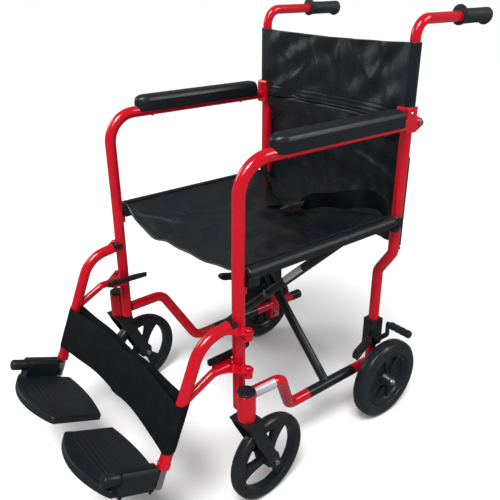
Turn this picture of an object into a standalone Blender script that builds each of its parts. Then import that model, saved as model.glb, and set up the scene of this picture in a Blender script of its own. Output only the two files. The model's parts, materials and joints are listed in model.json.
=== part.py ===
"""Folding attendant-propelled manual wheelchair, built as separate named pieces.

Metres, +Z up.  The chair faces -Y and +X is the sitter's left.  The ground is z = 0, and the
origin lies under the middle of the chair's length and width.
"""
import math

import bmesh
import bpy
from mathutils import Matrix, Vector

# ---------------------------------------------------------------- driving dimensions
GAP = 0.0003                 # clearance between pieces that touch
RUN = 0.0004                 # clearance of a shaft that turns in a hole
TUBE_R = 0.0127              # 1 inch frame tube
WHEEL_SIDES = 32             # sides of a wheel
SMALL_TUBE_R = 0.011         # 22 mm cross brace and seat rail tube
SIDES = 12                   # sides of a frame tube

CANE_R = 0.011               # 22 mm tube of the folding back
TURN_DEG = 5                 # both casters have trailed off straight by this much

UPRIGHT_X, UPRIGHT_Y = 0.235, -0.200      # front upright: half the width, and its place in length
UPRIGHT_BOTTOM = 0.243
ARM_X, ARM_Z, ARM_BEND_R = UPRIGHT_X + 0.0045, 0.7555, 0.066
POST_X, POST_Y = UPRIGHT_X - 0.005, 0.262
POST_JOG_TOP, POST_JOG_LOW = 0.452, 0.392
LOW_X, LOW_Z = UPRIGHT_X - 0.044, 0.131   # lower rail axis, which is also the fold axis
RAIL_JOIN_Z = 0.262
SLEEVE_FRONT, SLEEVE_REAR = 0.040, 0.195
JOURNAL_R = 0.0088
TIP_END = 0.372
TIP_R, TIP_LENGTH = 0.0135, 0.045         # thicker tipping end, where the attendant's foot presses

SEAT_X, SEAT_Z = UPRIGHT_X + 0.001, 0.535  # seat rail axis
SEAT_FRONT, SEAT_REAR = UPRIGHT_Y + 0.016, 0.245
LEG_A_Y, LEG_B_Y = 0.1035, 0.0805
SEAT_T = 0.004
SEAT_SAG = 0.034

CASTER_R, CASTER_HALF = 0.100, 0.0150
HOUSING_R, HOUSING_BORE = 0.019, 0.0120
HOUSING_BOTTOM, HOUSING_TOP = 0.235, 0.297
HOUSING_Y = UPRIGHT_Y - 0.007
TRAIL = 0.061
FORK_HALF, FORK_T = 0.0272, 0.003
CROWN_T = 0.004

REAR_R, REAR_HALF = 0.105, 0.0195
REAR_RIM_R = REAR_R - 0.0335
REAR_X, REAR_Y = LOW_X + 0.052, 0.263
AXLE_R = 0.006

PAD_FRONT, PAD_REAR = UPRIGHT_Y + 0.072, 0.226
PAD_HALF, PAD_TOP, PAD_BOTTOM = 0.0225, ARM_Z + 0.036, ARM_Z + 0.0005

CAST_WALL = 0.0026
CAST_BOTTOM, CAST_TOP = ARM_Z - 0.019, ARM_Z + 0.036
CAST_FRONT, CAST_REAR = POST_Y - TUBE_R - GAP - 0.006, POST_Y + 0.034
BACK_PIVOT_Y, BACK_PIVOT_Z = POST_Y + 0.0245, ARM_Z
CANE_TOP, CANE_BEND_R = ARM_Z + 0.208, 0.036
GRIP_FRONT, GRIP_END = 0.404, 0.514
GRIP_R = 0.0148

HANGER_X = UPRIGHT_X - 0.002
PIN_X, PIN_Y, PIN_R = UPRIGHT_X + 0.032, UPRIGHT_Y - 0.002, 0.004
PLATE_T = 0.004
PLATE_Z = {"upper": 0.432, "lower": 0.347}
RAKE = math.radians(22)
HANGER_END = Vector((HANGER_X, UPRIGHT_Y - 0.184, 0.187))
STEM_R = 0.0095
STEM_IN, BORE_DEPTH = 0.120, 0.124        # stem inside the hanger tube, and the depth of its bore
HANGER_R = 0.0120
ROD_R = 0.0095
ROD_X = HANGER_X - 0.005                  # the footplate's rod, a little inboard of the stem
ROD_DROP = STEM_R + 0.0015                # rod's axis below the end of the hanger tube
CAP_R, CAP_FROM, ROD_END = 0.0122, 0.092, 0.125
PLATE_INNER_X = 0.026
PLATE_THICK, PLATE_LEVEL = 0.014, -0.0235  # the deck's top is below the rod's axis

STRAP_MID_Z, STRAP_HALF_Z = HANGER_END.z + 0.081, 0.052
STRAP_T = 0.003

POINT = Vector


# ---------------------------------------------------------------- shape helpers
def rounded(points, radius, steps=5):
    """Points along a polyline whose inner corners are arcs of the given radius."""
    path = [Vector(points[0])]
    for before, corner, after in zip(points, points[1:], points[2:]):
        before, corner, after = Vector(before), Vector(corner), Vector(after)
        into, out = (corner - before).normalized(), (after - corner).normalized()
        turn = into.angle(out)
        if turn < 1e-4:
            continue
        cut = radius * math.tan(turn / 2)
        axis = into.cross(out).normalized()
        centre = corner - into * cut + axis.cross(into) * radius
        spoke = corner - into * cut - centre
        count = max(2, round(steps * turn / (math.pi / 2)))
        for k in range(count + 1):
            path.append(centre + Matrix.Rotation(turn * k / count, 3, axis) @ spoke)
    path.append(Vector(points[-1]))
    return path


def sweep(path, radius, sides=SIDES):
    """A closed solid rod along a path; radius is one value or one for each point."""
    radii = radius if isinstance(radius, list) else [radius] * len(path)
    bm = bmesh.new()
    rings, side = [], None
    for k, here in enumerate(path):
        ahead = path[min(k + 1, len(path) - 1)] - here
        behind = here - path[max(k - 1, 0)]
        if ahead.length < 1e-9:
            ahead = behind
        if behind.length < 1e-9:
            behind = ahead
        along = (ahead.normalized() + behind.normalized()).normalized()
        if side is None:
            side = along.orthogonal().normalized()
            if abs(along.x) < 0.9:
                side = (Vector((1, 0, 0)) - along * along.x).normalized()
        side = (side - along * side.dot(along)).normalized()
        up = along.cross(side)
        ring = []
        for j in range(sides):
            a = 2 * math.pi * (j + 0.5) / sides
            ring.append(bm.verts.new(here + (side * math.cos(a) + up * math.sin(a)) * radii[k]))
        rings.append(ring)
    for one, two in zip(rings, rings[1:]):
        for j in range(sides):
            n = (j + 1) % sides
            bm.faces.new((one[j], one[n], two[n], two[j]))
    bm.faces.new(rings[0][::-1])
    bm.faces.new(rings[-1])
    return bm


def rod(start, end, radius, sides=10):
    return sweep([Vector(start), Vector(end)], radius, sides)


def box(low, high):
    """A closed box between two corners."""
    bm = bmesh.new()
    bmesh.ops.create_cube(bm, size=1.0)
    low, high = Vector(low), Vector(high)
    bmesh.ops.scale(bm, vec=high - low, verts=bm.verts)
    bmesh.ops.translate(bm, vec=(low + high) / 2, verts=bm.verts)
    return bm


def prism(outline, along, depth):
    """Extrude a flat outline of 3-D points by depth in the direction along."""
    bm = bmesh.new()
    face = bm.faces.new([bm.verts.new(p) for p in outline])
    out = bmesh.ops.extrude_face_region(bm, geom=[face])
    moved = [e for e in out["geom"] if isinstance(e, bmesh.types.BMVert)]
    bmesh.ops.translate(bm, vec=Vector(along) * depth, verts=moved)
    return bm


def turned(profile, centre, segments):
    """Turn a closed profile of (offset along X, radius) points once round the X axis."""
    bm = bmesh.new()
    verts = [bm.verts.new((x, 0, r)) for x, r in profile]
    edges = [bm.edges.new((a, b)) for a, b in zip(verts, verts[1:] + verts[:1])]
    bmesh.ops.spin(bm, geom=verts + edges, cent=(0, 0, 0), axis=(1, 0, 0),
                   angle=2 * math.pi, steps=segments, use_merge=True)
    bmesh.ops.remove_doubles(bm, verts=bm.verts, dist=1e-6)
    bmesh.ops.translate(bm, vec=centre, verts=bm.verts)
    return bm


def capsule(a, b, radius, steps=5):
    """The outline of a bar with round ends between two points in one flat plane (2-D)."""
    a, b = Vector(a), Vector(b)
    heading = math.atan2(b.y - a.y, b.x - a.x)
    points = []
    for centre, start in ((b, heading - math.pi / 2), (a, heading + math.pi / 2)):
        for k in range(steps + 1):
            t = start + math.pi * k / steps
            points.append((centre.x + radius * math.cos(t), centre.y + radius * math.sin(t)))
    return points


def side_view(points, x):
    """2-D (y, z) points as 3-D points on the plane at x."""
    return [Vector((x, y, z)) for y, z in points]


def top_view(points, z):
    """2-D (x, y) points as 3-D points on the plane at z."""
    return [Vector((x, y, z)) for x, y in points]


def shifted(bm, matrix):
    bmesh.ops.transform(bm, matrix=matrix, verts=bm.verts)
    return bm


def tidy(bm):
    bmesh.ops.recalc_face_normals(bm, faces=bm.faces)
    return bm


def scratch(bm):
    mesh = bpy.data.meshes.new("scratch")
    tidy(bm).to_mesh(mesh)
    bm.free()
    obj = bpy.data.objects.new("scratch", mesh)
    bpy.context.collection.objects.link(obj)
    return obj


def combine(first, second, operation):
    """The union or difference of two closed solids."""
    one, two = scratch(first), scratch(second)
    cut = one.modifiers.new("combine", "BOOLEAN")
    cut.object, cut.operation, cut.solver = two, operation, "EXACT"
    graph = bpy.context.evaluated_depsgraph_get()
    mesh = bpy.data.meshes.new_from_object(one.evaluated_get(graph))
    result = bmesh.new()
    result.from_mesh(mesh)
    for obj in (one, two):
        bpy.data.objects.remove(obj)
    return result


def union(*solids):
    result = solids[0]
    for solid in solids[1:]:
        result = combine(result, solid, "UNION")
    return result


def minus(solid, *cutters):
    for cutter in cutters:
        solid = combine(solid, cutter, "DIFFERENCE")
    return solid


# ---------------------------------------------------------------- materials and nodes
def material(name, colour, roughness, metallic):
    mat = bpy.data.materials.new(name)
    mat.use_nodes = True
    shader = mat.node_tree.nodes["Principled BSDF"]
    shader.inputs["Base Color"].default_value = (*colour, 1)
    shader.inputs["Roughness"].default_value = roughness
    shader.inputs["Metallic"].default_value = metallic
    mat.diffuse_color = (*colour, 1)
    return mat


FINISHES = {
    "red_paint": ((0.62, 0.005, 0.02), 0.22, 0.0),
    "black_paint": ((0.02, 0.022, 0.025), 0.3, 0.0),
    "black_plastic": ((0.018, 0.022, 0.025), 0.5, 0.0),
    "tyre": ((0.035, 0.042, 0.048), 0.5, 0.0),
    "grip_rubber": ((0.03, 0.036, 0.042), 0.55, 0.0),
    "zinc": ((0.62, 0.66, 0.68), 0.3, 1.0),
    "chrome": ((0.7, 0.7, 0.7), 0.12, 1.0),
    "nylon": ((0.013, 0.017, 0.021), 0.5, 0.0),
    "webbing": ((0.008, 0.009, 0.01), 0.8, 0.0),
}


def node(name, bm, finish, origin=(0, 0, 0)):
    """One named object with its own material and its origin on its joint's axis."""
    bmesh.ops.dissolve_degenerate(bm, dist=1e-6, edges=bm.edges)
    tidy(bm)
    bmesh.ops.translate(bm, vec=-Vector(origin), verts=bm.verts)
    mesh = bpy.data.meshes.new(name)
    bm.to_mesh(mesh)
    bm.free()
    mesh.shade_smooth()
    mesh.set_sharp_from_angle(angle=math.radians(35))
    mesh.materials.append(material(name, *FINISHES[finish]))
    obj = bpy.data.objects.new(name, mesh)
    bpy.context.collection.objects.link(obj)
    obj.location = origin
    return obj


# ---------------------------------------------------------------- the side frames
def lug(z_top):
    """A welded ear outside the upright, with the stud and head that one hanger plate turns on."""
    depth = 0.014
    outline = capsule((UPRIGHT_X + 0.006, UPRIGHT_Y), (PIN_X, PIN_Y), 0.0085)
    ear = prism(top_view(outline, z_top - depth), (0, 0, 1), depth)
    head_z = z_top + GAP + PLATE_T + GAP
    stud = rod((PIN_X, PIN_Y, z_top - 0.004), (PIN_X, PIN_Y, head_z + 0.002), PIN_R)
    head = rod((PIN_X, PIN_Y, head_z), (PIN_X, PIN_Y, head_z + 0.005), 0.0068, 6)
    return union(ear, stud, head)


def pin_hole():
    return rod((PIN_X, PIN_Y, 0.3), (PIN_X, PIN_Y, 0.5), PIN_R + RUN, 12)


def side_tube():
    """Front upright that bends back into the armrest tube, with its two hanger ears."""
    path = rounded([(UPRIGHT_X, UPRIGHT_Y, UPRIGHT_BOTTOM), (UPRIGHT_X, UPRIGHT_Y, 0.560),
                    (ARM_X, UPRIGHT_Y, ARM_Z), (ARM_X, CAST_FRONT - GAP, ARM_Z)], ARM_BEND_R, 7)
    ears = [lug(PLATE_Z[level] - GAP) for level in ("upper", "lower")]
    return union(sweep(path, TUBE_R), *ears)


def lower_rail():
    """Rail that steps down and inboard, with a journal, an axle block and a tipping end."""
    start = (UPRIGHT_X + 0.002, UPRIGHT_Y + TUBE_R + GAP, RAIL_JOIN_Z)
    bends = rounded([start, (UPRIGHT_X + 0.005, UPRIGHT_Y + 0.108, RAIL_JOIN_Z), (LOW_X, UPRIGHT_Y + 0.180, LOW_Z),
                     (LOW_X, SLEEVE_FRONT - GAP, LOW_Z)], 0.030, 5)
    radii = [TUBE_R] * len(bends)
    for y, r in ((SLEEVE_FRONT - GAP / 2, JOURNAL_R), (SLEEVE_REAR + GAP / 2, JOURNAL_R),
                 (SLEEVE_REAR + GAP, TUBE_R), (TIP_END - TIP_LENGTH, TUBE_R),
                 (TIP_END - TIP_LENGTH + GAP, TIP_R), (TIP_END - 0.005, TIP_R), (TIP_END, TIP_R - 0.005)):
        bends.append(Vector((LOW_X, y, LOW_Z)))
        radii.append(r)
    block = box((LOW_X - 0.011, REAR_Y - 0.016, 0.089), (LOW_X + 0.011, REAR_Y + 0.016, LOW_Z))
    hole = rod((LOW_X - 0.05, REAR_Y, REAR_R), (LOW_X + 0.05, REAR_Y, REAR_R), AXLE_R + GAP)
    return minus(union(sweep(bends, radii), block), hole)


def rear_post():
    """Post that stands on the lower rail, jogs outboard over the wheel and carries the back."""
    foot = LOW_Z + 0.0075
    path = rounded([(LOW_X, REAR_Y, foot), (LOW_X, REAR_Y, POST_JOG_LOW),
                    (POST_X, POST_Y, POST_JOG_TOP), (POST_X, POST_Y, CAST_BOTTOM - GAP)], 0.030, 6)
    stub = rod((POST_X, POST_Y + 0.008, POST_JOG_TOP + 0.010),
               (POST_X, POST_Y + 0.021, POST_JOG_TOP + 0.006), 0.005, 10)
    saddle = rod((LOW_X, REAR_Y - 0.05, LOW_Z), (LOW_X, REAR_Y + 0.05, LOW_Z), TUBE_R + GAP, 28)
    return minus(union(sweep(path, TUBE_R), stub), saddle)


def hinge_casting():
    """Sleeve on top of the post: a front web, a floor and two cheeks, open to the rear."""
    half = TUBE_R + GAP + CAST_WALL
    back = POST_Y + 0.013
    profile = [(CAST_FRONT, CAST_BOTTOM), (back, CAST_BOTTOM), (CAST_REAR, BACK_PIVOT_Z - 0.008),
               (CAST_REAR, BACK_PIVOT_Z + 0.007), (back, BACK_PIVOT_Z + 0.016), (back, CAST_TOP),
               (CAST_FRONT + 0.003, CAST_TOP), (CAST_FRONT, CAST_TOP - 0.004)]
    body = prism(side_view(profile, POST_X - half), (1, 0, 0), 2 * half)
    slot = box((POST_X - TUBE_R - GAP, POST_Y - CANE_R - 0.0026, CAST_BOTTOM + 0.008),
               (POST_X + TUBE_R + GAP, CAST_REAR + 0.02, CAST_TOP + 0.02))
    bolt = rod((POST_X - 0.03, BACK_PIVOT_Y, BACK_PIVOT_Z),
               (POST_X + 0.03, BACK_PIVOT_Y, BACK_PIVOT_Z), 0.004 + GAP)
    return minus(body, slot, bolt)


HOUSING_X = UPRIGHT_X + TUBE_R + GAP + HOUSING_R


def caster_housing():
    """Bearing tube of the caster, beside the foot of the upright."""
    tube = rod((HOUSING_X, HOUSING_Y, HOUSING_BOTTOM), (HOUSING_X, HOUSING_Y, HOUSING_TOP),
               HOUSING_R, 24)
    bore = rod((HOUSING_X, HOUSING_Y, HOUSING_BOTTOM - 0.01),
               (HOUSING_X, HOUSING_Y, HOUSING_TOP + 0.01), HOUSING_BORE, 20)
    return minus(tube, bore)


def seat_cradle():
    """Plastic block behind the upright with an open-topped seat for the seat rail."""
    y0, y1 = UPRIGHT_Y + TUBE_R + GAP, UPRIGHT_Y + TUBE_R + 0.026
    block = box((SEAT_X - 0.016, y0, SEAT_Z - 0.021), (SEAT_X + 0.016, y1, SEAT_Z - 0.002))
    trough = rod((SEAT_X, y0 - 0.02, SEAT_Z), (SEAT_X, y1 + 0.02, SEAT_Z), SMALL_TUBE_R + 0.0012, 20)
    clear = box((SEAT_X - SMALL_TUBE_R - 0.0012, y0 - 0.02, SEAT_Z),
                (SEAT_X + SMALL_TUBE_R + 0.0012, y1 + 0.02, SEAT_Z + 0.03))
    return minus(block, trough, clear)


def housing_cap():
    return rod((HOUSING_X, HOUSING_Y, HOUSING_TOP + GAP), (HOUSING_X, HOUSING_Y, HOUSING_TOP + 0.005),
               HOUSING_R - 0.0005, 24)


def arm_pad():
    """Long pad with a bevelled top, grooved over the armrest tube."""
    half, drop = PAD_HALF, 0.016
    section = [(-half, PAD_BOTTOM), (half, PAD_BOTTOM), (half, PAD_TOP - drop),
               (half - 0.009, PAD_TOP), (-half + 0.009, PAD_TOP), (-half, PAD_TOP - drop)]
    length = PAD_REAR - PAD_FRONT
    outline = [Vector((ARM_X + x, PAD_FRONT, z)) for x, z in section]
    body = prism(outline, (0, 1, 0), length)
    nose = []
    for k in range(9):
        t = math.pi * k / 8
        nose.append((ARM_X - half * math.cos(t), PAD_FRONT + 0.030 - 0.030 * math.sin(t)))
    outer = top_view(nose + [(ARM_X + half, PAD_REAR), (ARM_X - half, PAD_REAR)], PAD_BOTTOM - 0.01)
    shape = prism(outer, (0, 0, 1), 0.06)
    body = combine(body, shape, "INTERSECT")
    groove = rod((ARM_X, PAD_FRONT - 0.05, ARM_Z), (ARM_X, PAD_REAR + 0.05, ARM_Z), TUBE_R + GAP, 28)
    return minus(body, groove)


# ---------------------------------------------------------------- the rear wheel and its brake
def rear_axle():
    """Axle bolt through the rail's block, with a washer inboard and a domed nut outboard."""
    out = REAR_X + 0.0245
    inner = LOW_X - 0.011 - GAP
    shank = rod((inner - 0.009, REAR_Y, REAR_R), (out + 0.001, REAR_Y, REAR_R), AXLE_R, 12)
    nut = rod((inner - 0.007, REAR_Y, REAR_R), (inner, REAR_Y, REAR_R), 0.009, 6)
    dome = sweep([Vector((out, REAR_Y, REAR_R)), Vector((out + 0.005, REAR_Y, REAR_R)),
                  Vector((out + 0.009, REAR_Y, REAR_R))], [0.0085, 0.0075, 0.0035], 12)
    spacer = rod((LOW_X + 0.011 + GAP, REAR_Y, REAR_R), (REAR_X - 0.0245, REAR_Y, REAR_R), 0.009, 12)
    return union(shank, nut, dome, spacer)


def rear_wheel():
    """Moulded wheel disc: hub, thin web and a stepped rim."""
    hub, web, rim = 0.024, 0.004, 0.0145
    r = REAR_RIM_R
    profile = [(-hub, AXLE_R + RUN), (hub, AXLE_R + RUN), (hub, 0.015), (web, 0.019), (web, r - 0.010),
               (rim, r - 0.005), (rim, r), (-rim, r), (-rim, r - 0.005),
               (-web, r - 0.010), (-web, 0.019), (-hub, 0.015)]
    return turned(profile, (REAR_X, REAR_Y, REAR_R), WHEEL_SIDES)


def rear_tyre():
    """Solid tyre with a rounded tread on the rim."""
    r0, r1, w = REAR_RIM_R + GAP, REAR_R, REAR_HALF
    profile = [(-w + 0.004, r0), (w - 0.004, r0), (w, r1 - 0.016), (w - 0.003, r1 - 0.007),
               (w - 0.009, r1 - 0.0015), (0, r1), (-w + 0.009, r1 - 0.0015),
               (-w + 0.003, r1 - 0.007), (-w, r1 - 0.016)]
    return turned(profile, (REAR_X, REAR_Y, REAR_R), WHEEL_SIDES)


BRAKE_X = LOW_X + TUBE_R + GAP               # outboard face of the post
SHOE_PIVOT = (REAR_Y - 0.016, 2 * REAR_R + 0.004)
SHOE_KNEE = (REAR_Y + 0.024, 2 * REAR_R + 0.0035)
SHOE_POINT = (REAR_Y + 0.023, 2 * REAR_R + 0.034)
HANDLE_PIVOT = (REAR_Y - 0.029, 2 * REAR_R + 0.0185)
HANDLE_TIP = (REAR_Y - 0.138, 2 * REAR_R + 0.030)
EAR_T = 0.003


def brake_bracket():
    """Clamp round the post with an ear that carries both pivots of the wheel lock."""
    x0, x1 = LOW_X - TUBE_R - 0.004, BRAKE_X + 0.004
    low, high = 2 * REAR_R - 0.024, 2 * REAR_R + 0.048
    block = box((x0, REAR_Y - TUBE_R - 0.004, low), (x1, REAR_Y + TUBE_R + 0.004, high))
    bore = rod((LOW_X, REAR_Y, low - 0.02), (LOW_X, REAR_Y, high + 0.02), TUBE_R + GAP, 28)
    ear_outline = [(-0.031, -0.009), (-0.001, -0.009), (0.009, 0.012), (0.009, 0.040),
                   (-0.013, 0.044), (-0.036, 0.036)]
    ear_outline = [(REAR_Y + y, 2 * REAR_R + z) for y, z in ear_outline]
    ear = prism(side_view(ear_outline, x1 - 0.001), (1, 0, 0), EAR_T)
    pivots = []
    for y, z in (SHOE_PIVOT, HANDLE_PIVOT):
        pivots.append(rod((x1 - 0.001, y, z), (x1 + 0.018, y, z), 0.004, 10))
    return union(minus(block, bore), ear, *pivots)


HANDLE_X = BRAKE_X + 0.004 + EAR_T           # inner face of the handle plate
HANDLE_T = 0.004
SHOE_ARM_X = HANDLE_X + HANDLE_T + 0.003


def brake_handle():
    """Flat hand lever that reaches forward past the post, cranked outboard at its round end."""
    x = HANDLE_X
    (py, pz), (ty, tz) = HANDLE_PIVOT, HANDLE_TIP
    bar = prism(side_view(capsule((py, pz), (ty, tz), 0.0095), x), (1, 0, 0), HANDLE_T)
    lip = prism(side_view(capsule((py - 0.024, pz + 0.003), (ty, tz), 0.0095), x + HANDLE_T - 0.001),
                (1, 0, 0), 0.012)
    hole = rod((x - 0.02, py, pz), (x + 0.04, py, pz), 0.004 + RUN, 12)
    lever = minus(union(bar, lip), hole)
    crank = Matrix.Identity(4)
    crank[0][1] = -0.42                      # the free end stands further outboard
    hinge = Matrix.Translation((0, py, 0))
    for vert in lever.verts:
        if vert.co.y < py - 0.012:
            vert.co = hinge @ crank @ hinge.inverted() @ (vert.co + Vector((0, 0.012, 0)))
            vert.co.y -= 0.012
    return lever


def brake_shoe():
    """Arm with a ribbed cylinder across the tyre, which locks the wheel when it comes down."""
    x = SHOE_ARM_X
    (py, pz), (sy, sz) = SHOE_PIVOT, SHOE_POINT
    foot = prism(side_view(capsule((py, pz), SHOE_KNEE, 0.007), x), (1, 0, 0), 0.004)
    arm = union(foot, prism(side_view(capsule(SHOE_KNEE, (sy, sz), 0.0065), x), (1, 0, 0), 0.004))
    hole = rod((x - 0.02, py, pz), (x + 0.04, py, pz), 0.004 + RUN, 12)
    shoe_path, radii = [], []
    start, length, ribs = x + 0.010, 0.060, 4
    for k in range(2 * ribs + 1):
        shoe_path.append(Vector((start + length * k / (2 * ribs), sy, sz)))
        radii.append(0.0102 if k % 2 else 0.0090)
    neck = rod((x + 0.001, sy, sz), (start + 0.002, sy, sz), 0.0045, 10)
    return union(minus(arm, hole), neck, sweep(shoe_path, radii, 10))


# ---------------------------------------------------------------- the front caster
WHEEL_Y = HOUSING_Y + TRAIL


def caster_fork():
    """Crown plate, two raked legs and the stem that turns in the housing."""
    crown_top = HOUSING_BOTTOM - GAP
    crown = box((HOUSING_X - FORK_HALF, HOUSING_Y - 0.021, crown_top - CROWN_T),
                (HOUSING_X + FORK_HALF, HOUSING_Y + 0.022, crown_top))
    stem = rod((HOUSING_X, HOUSING_Y, crown_top - 0.001), (HOUSING_X, HOUSING_Y, HOUSING_TOP - 0.004),
               HOUSING_BORE - RUN, 16)
    leg = [(HOUSING_Y - 0.021, crown_top), (HOUSING_Y + 0.022, crown_top), (HOUSING_Y + 0.026, 0.205),
           (WHEEL_Y + 0.012, CASTER_R + 0.002), (WHEEL_Y + 0.007, CASTER_R - 0.011),
           (WHEEL_Y - 0.007, CASTER_R - 0.013), (WHEEL_Y - 0.013, CASTER_R - 0.003),
           (HOUSING_Y - 0.008, 0.205)]
    legs = [prism(side_view(leg, x), (1, 0, 0), FORK_T)
            for x in (HOUSING_X - FORK_HALF, HOUSING_X + FORK_HALF - FORK_T)]
    bolt = rod((HOUSING_X - 0.05, WHEEL_Y, CASTER_R), (HOUSING_X + 0.05, WHEEL_Y, CASTER_R),
               0.004 + GAP, 12)
    return minus(union(crown, stem, *legs), bolt)


def caster_wheel():
    """Moulded wheel with a round tread, three broad spokes and open windows between them."""
    w, r = CASTER_HALF, CASTER_R
    tread = [(-w + 0.001, r - 0.022), (w - 0.001, r - 0.022), (w, r - 0.012), (w - 0.0025, r - 0.005),
             (w - 0.0075, r - 0.0012), (0, r), (-w + 0.0075, r - 0.0012), (-w + 0.0025, r - 0.005),
             (-w, r - 0.012)]
    centre = Vector((HOUSING_X, WHEEL_Y, r))
    ring = turned(tread, centre, WHEEL_SIDES)
    hub_r, spoke_half = 0.019, 0.011
    hub = rod(centre - Vector((0.024, 0, 0)), centre + Vector((0.024, 0, 0)), hub_r, 16)
    spokes = []
    for k in range(3):
        outline = [(-spoke_half, 0.012), (spoke_half, 0.012), (spoke_half * 1.9, r - 0.020),
                   (-spoke_half * 1.9, r - 0.020)]
        turn = Matrix.Rotation(math.radians(95 + 120 * k), 4, "X")
        arm = prism([Vector((-0.006, y, z)) for y, z in outline], (1, 0, 0), 0.012)
        spokes.append(shifted(arm, Matrix.Translation(centre) @ turn))
    bore = rod(centre - Vector((0.05, 0, 0)), centre + Vector((0.05, 0, 0)), 0.004 + RUN, 12)
    return minus(union(ring, hub, *spokes), bore)


def caster_axle():
    """Axle bolt with a head and a nut outside the fork."""
    ends = FORK_HALF + GAP
    centre = Vector((HOUSING_X, WHEEL_Y, CASTER_R))
    x = Vector((1, 0, 0))
    shank = rod(centre - x * (ends + 0.003), centre + x * (ends + 0.003), 0.004, 12)
    head = rod(centre + x * ends, centre + x * (ends + 0.005), 0.0068, 6)
    nut = rod(centre - x * (ends + 0.006), centre - x * ends, 0.0068, 6)
    return union(shank, head, nut)


# ---------------------------------------------------------------- hanger and footrest
DOWN = Vector((0, -math.sin(RAKE), -math.cos(RAKE)))     # along the hanger tube
FORE = Vector((0, -math.cos(RAKE), math.sin(RAKE)))      # along the footplate's rod
ROD_BASE = Vector((ROD_X, HANGER_END.y, HANGER_END.z)) + DOWN * ROD_DROP


def bracket_outline(inboard):
    """Plate outline from the pin, round the front of the upright, to the hanger tube."""
    points = []
    for k in range(7):
        t = math.radians(-60 + 190 * k / 6)
        points.append((PIN_X + 0.0105 * math.cos(t), PIN_Y + 0.0105 * math.sin(t)))
    for k in range(7):
        t = math.radians(-14 - 150 * k / 6)
        clear = TUBE_R + 0.0012
        points.append((UPRIGHT_X + clear * math.cos(t), UPRIGHT_Y + clear * math.sin(t)))
    points += [(inboard, UPRIGHT_Y - 0.005), (inboard, UPRIGHT_Y - 0.042),
               (HANGER_X - 0.009, UPRIGHT_Y - 0.058), (HANGER_X + 0.009, UPRIGHT_Y - 0.058),
               (HANGER_X + 0.016, UPRIGHT_Y - 0.036)]
    return points


def hanger():
    """Bent hanger tube with its strut and the two plates that pivot on the pins."""
    z = PLATE_Z["upper"] + PLATE_T
    run = (z - HANGER_END.z) / -DOWN.z
    elbow = HANGER_END - DOWN * (run - 0.008)
    path = rounded([(HANGER_X, UPRIGHT_Y - 0.0230, z + 0.002), elbow, HANGER_END], 0.070, 6)
    tube = sweep(path, HANGER_R)
    low = PLATE_Z["lower"]
    foot = (low - 0.035 - HANGER_END.z) / -DOWN.z
    strut_path = [HANGER_END - DOWN * foot, Vector((HANGER_X, UPRIGHT_Y - 0.062, low + PLATE_T / 2)),
                  Vector((HANGER_X, UPRIGHT_Y - 0.026, low + PLATE_T / 2))]
    strut = sweep(strut_path, 0.0085, 12)
    plates = [prism(top_view(bracket_outline(HANGER_X - 0.012), PLATE_Z["upper"]), (0, 0, 1), PLATE_T),
              prism(top_view(bracket_outline(HANGER_X - 0.030), low), (0, 0, 1), PLATE_T)]
    bore = rod(HANGER_END - DOWN * BORE_DEPTH, HANGER_END + DOWN * 0.01, STEM_R + GAP, 16)
    latch_hole = rod((LEVER_X, LEVER_Y, low - 0.01), (LEVER_X, LEVER_Y, low + 0.02), 0.003 + RUN, 10)
    return minus(union(tube, strut, *plates), pin_hole(), bore, latch_hole)


def hanger_bumper():
    """Plastic block that seats the hanger against the front of the upright."""
    z = PLATE_Z["upper"] + PLATE_T
    radius = HANGER_R - 0.0002
    block = box((HANGER_X - radius, UPRIGHT_Y - 0.0226, z + GAP),
                (HANGER_X + radius, UPRIGHT_Y - 0.002, z + GAP + 0.012))
    upright = rod((UPRIGHT_X, UPRIGHT_Y, z - 0.02), (UPRIGHT_X, UPRIGHT_Y, z + 0.04),
                  TUBE_R + 0.0006, 28)
    return minus(block, upright)


LEVER_X, LEVER_Y = HANGER_X - 0.0225, UPRIGHT_Y - 0.036


def release_lever():
    """Latch lever beside the upright, with its pin in the lower plate."""
    z = PLATE_Z["lower"] + PLATE_T + GAP
    body = [(-0.0045, -0.020), (0.0045, -0.020), (0.0055, 0.010), (0.0028, 0.060), (-0.004, 0.086),
            (-0.0075, 0.082), (-0.006, 0.020)]
    outline = [(LEVER_X + x, LEVER_Y + y) for x, y in body]
    lever = prism(top_view(outline, z), (0, 0, 1), 0.011)
    pin = rod((LEVER_X, LEVER_Y, z - 0.008), (LEVER_X, LEVER_Y, z + 0.014), 0.003, 10)
    return union(lever, pin)


def footrest_stem():
    """Chrome tube that slides in the hanger, and the capped rod that the footplate turns on."""
    foot = HANGER_END + DOWN * 0.045
    stem = sweep([HANGER_END - DOWN * STEM_IN, foot - DOWN * 0.003, foot], [STEM_R, STEM_R, STEM_R - 0.003], 14)
    reach = [(0, ROD_R), (CAP_FROM, ROD_R), (CAP_FROM + GAP, CAP_R), (ROD_END - 0.003, CAP_R),
             (ROD_END, CAP_R - 0.003)]
    peg = sweep([ROD_BASE + FORE * f for f, r in reach], [r for f, r in reach], 14)
    return union(stem, peg)


def plate_point(x, forward, lift=0.0):
    """A point of the footplate: x across, forward along the rod, lift above the rod's axis."""
    return Vector((x, ROD_BASE.y, ROD_BASE.z)) + FORE * forward - DOWN * lift


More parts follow.
